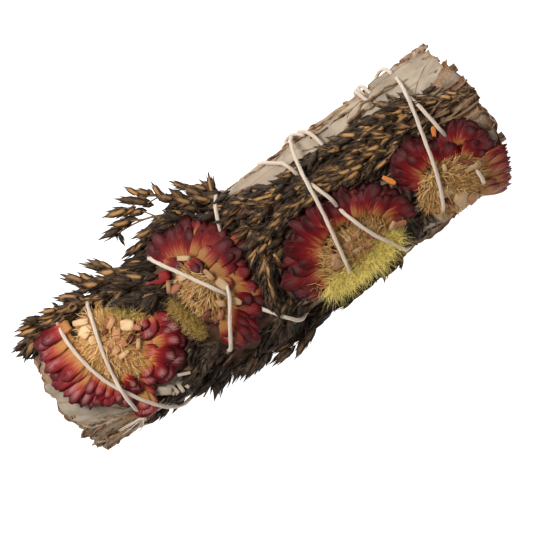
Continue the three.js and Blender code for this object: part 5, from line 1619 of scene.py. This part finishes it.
def flower_bracts(number, flower, forms, finishes):
    """The bracts of a head, each over two darker ones turned a little aside, some under a shorter one."""
    random = np.random.default_rng(flower.seed)
    place = head_frame(flower)
    heap = Heap()
    for k, (root_x, root_y, tip_x, tip_y, width, depth) in enumerate(flower.bracts):
        tip = np.array([tip_x, tip_y]) + random.uniform(-TIP_STRAY, TIP_STRAY, 2)
        root = np.array([root_x, root_y])
        root = root + BRACT_TUCK * (root - tip)
        ahead = tip - root
        width = BRACT_OVERLAP * width * random.uniform(*BRACT_WIDTHS)
        shapes = forms["round" if random.random() < flower.blunt else "pointed"]
        rise = STUB_RISE if depth >= 1 else 0
        low = BRACT_HEIGHTS[0] + rise
        high = BRACT_HEIGHTS[1] + NEXT_RISE * (k % 2) + rise
        tilt = BRACT_TILT + random.uniform(*TILT_STRAY)
        bend = random.uniform(-BRACT_BEND, BRACT_BEND)
        depth = min(1, depth + random.uniform(*DEPTH_STRAY))
        shape = shapes[k % len(shapes)]
        heap.add(shape, laid(place, shape, root, tip, width, low, high, tilt, bend), tone=depth)
        if random.random() < INNER_SHARE:
            inner = root + ahead * random.uniform(*INNER_REACH)
            inner = inner + random.uniform(-INNER_STRAY, INNER_STRAY, 2)
            shape = any_of(shapes, random)
            heights = (low + INNER_LIFTS[0], high + INNER_LIFTS[1])
            points = laid(place, shape, root, inner, INNER_WIDTH * width, *heights, tilt, -bend)
            heap.add(shape, points, tone=min(1, depth + random.uniform(-0.05, 0.1)))
        for side in (-1, 1):
            turned = left_of(ahead) * side * UNDER_TURN * random.uniform(0.5, 1)
            under = root + ahead * random.uniform(*UNDER_REACH) + turned
            shape = any_of(shapes, random)
            drop = UNDER_DROP * random.uniform(0.8, 1.3)
            heights = (low - drop, high - drop)
            points = laid(place, shape, root, under, UNDER_WIDTH * width, *heights, tilt, bend)
            heap.add(shape, points, tone=min(1, depth + UNDER_DEPTH))
    return heap.piece(f"strawflower_{number + 1}_bracts", finishes)


def disc_height(share):
    """Height of a flower's centre at a share of the way out from its middle."""
    return DISC_TOP - (DISC_TOP - DISC_LOW) * share**3


def disc_pad(flower, place):
    """The low pad that the straws lie on."""
    x, y, long, tall = flower.disc
    rim = np.linspace(0, 2 * np.pi, 33)[:, None]
    share = np.linspace(0.02, 1, 6)[None, :]
    height = disc_height(share) - PAD_DROP
    grid = place(x + long * share * np.cos(rim), y + tall * share * np.sin(rim), height)
    places = np.stack(np.broadcast_arrays(rim / (2 * np.pi), share), axis=-1)
    return sheet(grid, PAD_THICKNESS, places)


def add_straws(heap, flower, place, random):
    """Straws lying round the whorl, the first ones loose on top of the others."""
    x, y, long, tall = flower.disc

    def drawn(low, high):
        return random.uniform(low, high, STRAWS)[:, None]

    spots = random.uniform(0, 1, STRAWS) ** 0.55 * 1.1
    angles = random.uniform(0, 2 * np.pi, STRAWS)
    px = x + long * spots * np.cos(angles)
    py = y + tall * spots * np.sin(angles)
    facing = np.arctan2(py - flower.whorl[1], px - flower.whorl[0]) + 0.42 * random.normal(size=STRAWS)
    length = drawn(*STRAW_LENGTHS)
    steps = np.linspace(-0.5, 0.5, len(STRAW_TAPER))
    turn = facing[:, None] + drawn(-0.7, 0.7) * steps
    straw_x = px[:, None] + length * steps * np.cos(turn)
    straw_y = py[:, None] + length * steps * np.sin(turn)
    height = disc_height(np.minimum(1, spots))[:, None] + drawn(*STRAW_LIFTS)
    height[:LOOSE_STRAWS] += LOOSE_LIFT
    height = height + 0.7 * steps * drawn(-1, 1)
    straws = strands(place(straw_x, straw_y, height), drawn(*STRAW_RADII) * STRAW_TAPER, 3)
    heap.add(straws, tone=np.repeat(random.uniform(0.0, 1, STRAWS), len(straws.points) // STRAWS))


def flower_disc(number, flower, shavings, finishes):
    """The chaffy centre: straws over a low pad, chips between them and pale bracts cut short."""
    random = np.random.default_rng(DISC_SEED + flower.seed)
    place = head_frame(flower)
    x, y, long, tall = flower.disc
    heap = Heap()
    heap.add(disc_pad(flower, place), tone=0.3)
    add_straws(heap, flower, place, random)
    for _ in range(CHIPS):
        angle, spread, heading = random.uniform(0, 2 * np.pi, 3)
        share = spread / 7  # at most nine tenths of the disc, as the draw ends at 2 pi
        middle = np.array([x, y]) + np.array([long, tall]) * math.sqrt(share) * ahead_of(angle)
        half = ahead_of(heading) * random.uniform(*CHIP_LENGTHS) / 2
        low = DISC_TOP - 0.6 * share + random.uniform(-0.4, 0.5)
        shape = any_of(shavings, random)
        width = random.uniform(*CHIP_WIDTHS)
        high = low + random.uniform(-0.3, 0.5)
        tilt = random.uniform(-0.6, 0.6)
        points = laid(place, shape, middle - half, middle + half, width, low, high, tilt)
        heap.add(shape, points, tone=random.uniform(0, 0.4), finish=CUT)
    for cut_x, cut_y, heading, length, width, rosy in flower.shavings:
        half = ahead_of(math.radians(heading + random.uniform(-6, 6))) * length / 2
        shape = any_of(shavings, random)
        middle = np.array([cut_x, cut_y])
        low = DISC_TOP + random.uniform(0.3, 0.8)
        high = low + random.uniform(-0.2, 0.4)
        tilt = random.uniform(-0.15, 0.15)
        points = laid(place, shape, middle - half, middle + half, width, low, high, tilt)
        heap.add(shape, points, tone=rosy, finish=CUT)
    return heap.piece(f"strawflower_{number + 1}_chaff", finishes)


def down_tuft(number, tuft, finishes):
    """Fine hairs in locks, standing out of a line over the roll and bent by their own weight."""
    route, spread, reach, count, bright = tuft
    random = np.random.default_rng(TUFT_SEED + number)
    line = smooth_line([(x, y, top_at(x, y) + lift) for x, y, lift in route], 60)
    flat = (1, 1, 0.5)
    root = line[random.integers(0, len(line), count)] + spread * 0.5 * random.normal(size=(count, 3)) * flat
    locks = unit(random.normal(size=(LOCKS, 3)) * flat + LOCK_LEAN)
    direction = unit(locks[random.integers(0, LOCKS, count)] + 0.4 * random.normal(size=(count, 3)))
    length = reach * random.uniform(*HAIR_LENGTHS, count)[:, None]
    steps = np.linspace(0, 1, len(HAIR_TAPER))
    bend = 0.8 * random.normal(size=(count, 3)) - (0, 0, HAIR_SAG)
    paths = root[:, None] + (direction * length)[:, None] * steps[:, None]
    paths += (bend * length)[:, None] * (steps**2)[:, None] * 0.5
    paths[..., 2] = np.minimum(paths[..., 2], HAIR_TOP)
    hairs = strands(paths, HAIR_RADIUS * HAIR_TAPER, 3)
    heap = Heap()
    heap.add(hairs, tone=np.repeat(bright * random.uniform(0, 1, count), len(hairs.points) // count))
    return heap.piece(f"down_tuft_{number + 1}_hairs", finishes)


def loose_petal(name, petal, shape, finishes):
    x, y, heading, length, width, lift = petal
    heap = Heap()
    heap.add(shape, flat_laid(shape, (x, y, top_at(x, y) + lift), heading, length, width))
    return heap.piece(name + "_blade", finishes)


def string_line():
    """The string's centreline: unwound flat, humped over its own first run, and wound on the roll."""
    turn = 2 * math.pi * ROLL_MEAN_RADIUS
    wound = 0
    unwound = []
    for i, (x, angle, height) in enumerate(STRING_ROUTE):
        if i and angle > STRING_ROUTE[i - 1][1]:
            wound += 360
        unwound.append((x, math.radians(angle - wound) * ROLL_MEAN_RADIUS, height))
    line = smooth_line(unwound, STRING_POINTS + 1)
    first_run = line[:np.argmax(line[:, 0])]
    lifted = line.copy()
    for i in range(len(first_run) + 1, len(line)):
        around = np.mod(line[i, 1] - first_run[:, 1] + turn / 2, turn) - turn / 2
        apart = np.hypot(line[i, 0] - first_run[:, 0], around)
        over = first_run[:, 2] + STRING_HUMP * (1 - (apart / STRING_HUMP_REACH) ** 2)
        near = first_run[:, 2] - line[i, 2] < STRING_UNDERPASS
        lifted[i, 2] = max(line[i, 2], np.max(over[near], initial=-np.inf))
    points = on_roll(lifted[:, 0], lifted[:, 1] / ROLL_MEAN_RADIUS, lifted[:, 2])
    points[:, 2] = np.maximum(points[:, 2], STRING_LOWEST)
    return points


def add_cord(heap, line):
    """A length of the string, its plies twisted together; its tone is brightest on a ply's back and sets
    the painted shade of the grooves.
    """
    ply = 0.5 + 0.5 * np.cos(PLIES * 2 * np.pi * np.arange(CORD_SIDES) / CORD_SIDES)
    cord = strands([line], PLY_RADIUS, CORD_SIDES, PLIES, PLY_GROOVE, PLY_TWIST)
    heap.add(cord, tone=np.tile(ply, len(line)))


def add_knot(heap, knot, random):
    """Three rings of string pulled tight round one point."""
    turn = np.linspace(0, 2 * np.pi, 25)[:, None]
    for _ in range(3):
        tilt = random.normal(size=(2, 3))
        first = unit(tilt[0])
        second = unit(np.cross(first, tilt[1]))
        ring = knot + KNOT_RADIUS * (np.cos(turn) * first + np.sin(turn) * second)
        heap.add(strands([ring], KNOT_STRING, 9, PLIES, 0.16, PLY_TWIST), tone=0.8)


def add_frayed_end(heap, knot, route, random):
    """Fibres that fan out along a short way from the knot."""
    spine = smooth_line([knot, *string_points(route)], FIBRE_STEPS)
    spread = np.linspace(0.2, 2.6, FIBRE_STEPS)[:, None]
    fibres = [spine + random.normal(size=3) * 0.28 * spread for _ in range(FIBRES)]
    heap.add(strands(fibres, np.linspace(0.17, 0.05, FIBRE_STEPS), 4), tone=0.9)


def add_fuzz(heap, line, random):
    """Short hairs all over the string."""
    root = line[random.integers(5, len(line) - 5, FUZZ)]
    direction = unit(random.normal(size=(FUZZ, 3)))
    reach = STRING_RADIUS + random.uniform(*FUZZ_LENGTHS, FUZZ)[:, None]
    bend = 0.4 * random.normal(size=(FUZZ, 3))
    steps = np.array([0.5, 0.8, 1.0])[:, None]
    fuzz = root[:, None] + (direction * reach)[:, None] * steps + bend[:, None] * steps**4
    fuzz[..., 2] = np.maximum(fuzz[..., 2], LOWEST)
    heap.add(strands(fuzz, FUZZ_RADIUS, 3), tone=1.0)


def string_points(route):
    return [on_roll(x, math.radians(angle), height) for x, angle, height in route]


def cotton_string(finishes):
    """Three-ply string with a knot, frayed ends and a little fuzz."""
    random = np.random.default_rng(STRING_SEED)
    heap = Heap()
    line = smooth_line(string_line(), CORD_POINTS, 8)
    add_cord(heap, line)
    for route in STRING_LOOPS:
        add_cord(heap, smooth_line(string_points(route), 60))
    add_knot(heap, line[-1], random)
    for route in FRAYED_ENDS:
        add_frayed_end(heap, line[-1], route, random)
    add_fuzz(heap, line, random)
    return heap.piece("cotton_string_plies", finishes)


# The setting


def set_camera():
    camera = bpy.data.cameras.new("camera")
    camera.lens = LENS
    camera.sensor_width = SENSOR
    seat = bpy.data.objects.new("camera", camera)
    distance = VIEW_WIDTH * LENS / SENSOR
    x, y, z = VIEW_CENTRE
    seat.location = Vector((x, y, z + distance)) * MM
    seat.rotation_euler = (0, 0, math.radians(VIEW_TURN))
    bpy.context.collection.objects.link(seat)
    bpy.context.scene.camera = seat


def set_light(name, place, size, power):
    lamp = bpy.data.lights.new(name, "AREA")
    lamp.shape = "DISK"
    lamp.size = size
    lamp.energy = power
    holder = bpy.data.objects.new(name, lamp)
    holder.location = place
    holder.rotation_euler = (-Vector(place)).to_track_quat("-Z", "Y").to_euler()
    bpy.context.collection.objects.link(holder)


def set_studio():
    world = bpy.data.worlds.new("studio")
    bpy.context.scene.world = world
    world.use_nodes = True
    back = world.node_tree.nodes["Background"]
    back.inputs["Color"].default_value = (1, 1, 1, 1)
    back.inputs["Strength"].default_value = SKY_STRENGTH
    set_light("key", KEY_LIGHT, KEY_SIZE, KEY_POWER)
    bpy.context.scene.view_settings.view_transform = "Standard"
    deselect()
    bpy.ops.mesh.primitive_plane_add(size=TABLE_SIZE, location=(0, 0, -0.0002))
    floor = bpy.context.object
    floor.name = "floor"
    paper = Finish("lit_table", 0.9)
    shade = paper.noise(paper.body(), 3, 2)
    paper.shader.inputs["Emission Color"].default_value = (1, 1, 1, 1)
    paper.shader.inputs["Emission Strength"].default_value = TABLE_GLOW
    greys = [(grey, grey, grey, 1) for grey in (0.5, 0.52)]
    floor.data.materials.append(paper.finished(paper.mix(shade, *greys)))


def husk_forms():
    """Husks more and less open, leaning left and right, and the plain one of the bed."""
    open_husks = [husk_shape(*form) for form in ((0, 0), (0.05, 0.03), (0.1, -0.03), (0.02, -0.06))]
    return {"open": open_husks, "bed": [bed_husk_shape()]}


def bract_forms():
    """Bracts that end round and pointed: widths from root to tip, crown and curl."""
    return {
        "round": [
            bract_shape([0.66, 0.74, 0.82, 0.9, 0.97, 1.0, 0.96, 0.82, 0.34], 0.09, -0.1),
            bract_shape([0.62, 0.72, 0.84, 0.94, 1.0, 1.0, 0.92, 0.74, 0.2], 0.12, -0.4),
            bract_shape([0.64, 0.74, 0.86, 0.96, 1.0, 0.98, 0.94, 0.8, 0.3], 0.06, 0.5),
        ],
        "pointed": [
            bract_shape([0.7, 0.78, 0.87, 0.94, 1.0, 1.0, 0.88, 0.58, 0.06], 0.09, -0.2),
            bract_shape([0.66, 0.78, 0.9, 0.97, 1.0, 0.94, 0.77, 0.47, 0.03], 0.11, 0.2),
            bract_shape([0.66, 0.78, 0.89, 0.96, 1.0, 0.98, 0.9, 0.64, 0.12], 0.06, 0.7),
        ],
    }


def shaving_forms():
    """Bracts cut short, given the same way."""
    return [
        bract_shape([0.8, 0.95, 1.0, 0.92, 0.72], 0.2, -0.8),
        bract_shape([1.0, 0.9, 0.98, 0.8, 0.5], 0.14, 0.6),
        bract_shape([0.6, 0.9, 1.0, 0.94, 0.84], 0.24, 0.3),
    ]


def dress_roll():
    scrap = bract_shape([0.9, 1.0, 0.94, 1.0, 0.96, 0.86], 0.1, 0.3)
    fit(sage_leaves(scrap), "dried_sage", "sage_bunch")
    for inner in (sage_core, torn_tips, sage_stalks):
        fit(inner(), "dried_sage")


def dress_sprays():
    """Gives each short spray and each husk that shows to the nearest long spray, and makes them all."""
    husks = husk_forms()
    finishes = [husk_skin(), dry_stalk()]
    beside = [[] for _ in SPRAYS]
    placed = [[] for _ in SPRAYS]
    for x, y, heading, length, lift, bright in FILLING:
        beside[nearest_spray(x, y)].append((filling_route(x, y, heading, length, lift), bright))
    for husk in PLACED_HUSKS:
        placed[nearest_spray(*husk[2:4])].append(husk)
    for number in range(len(SPRAYS)):
        spray = seed_spray(number, beside[number], placed[number], husks, finishes)
        fit(spray, "seed_spray", f"seed_spray_{number + 1}")


def dress_flowers(bracts):
    shavings = shaving_forms()
    for number, flower in enumerate(FLOWERS):
        node = f"strawflower_{number + 1}"
        # Each flower's finishes are its own copies, dimmed by its light, which is partly painted shade
        gloss = [bract_gloss(node, flower.light)]
        chaff = [disc_straw(node, flower.light**STRAW_DIMMING), cut_bract_paper(node, flower.light)]
        fit(flower_bracts(number, flower, bracts, gloss), "flower_bracts", node)
        fit(flower_disc(number, flower, shavings, chaff), "flower_disc", node + "_disc")


def dress():
    dress_roll()
    dress_sprays()
    bracts = bract_forms()
    dress_flowers(bracts)
    down = [lemon_down()]
    for number, tuft in enumerate(TUFTS):
        fit(down_tuft(number, tuft, down), "yellow_down", f"down_tuft_{number + 1}")
    orange = [petal_orange()]
    for name, petal in LOOSE_PETALS.items():
        if name == "red_petal":
            fit(loose_petal(name, petal, bracts["pointed"][1], [red_petal_gloss()]), "flower_bracts", name)
        else:
            fit(loose_petal(name, petal, bracts["round"][0], orange), "orange_petal", name)
    fit(cotton_string([cotton()]), "cotton_string", "cotton_string")


set_camera()
set_studio()
dress()
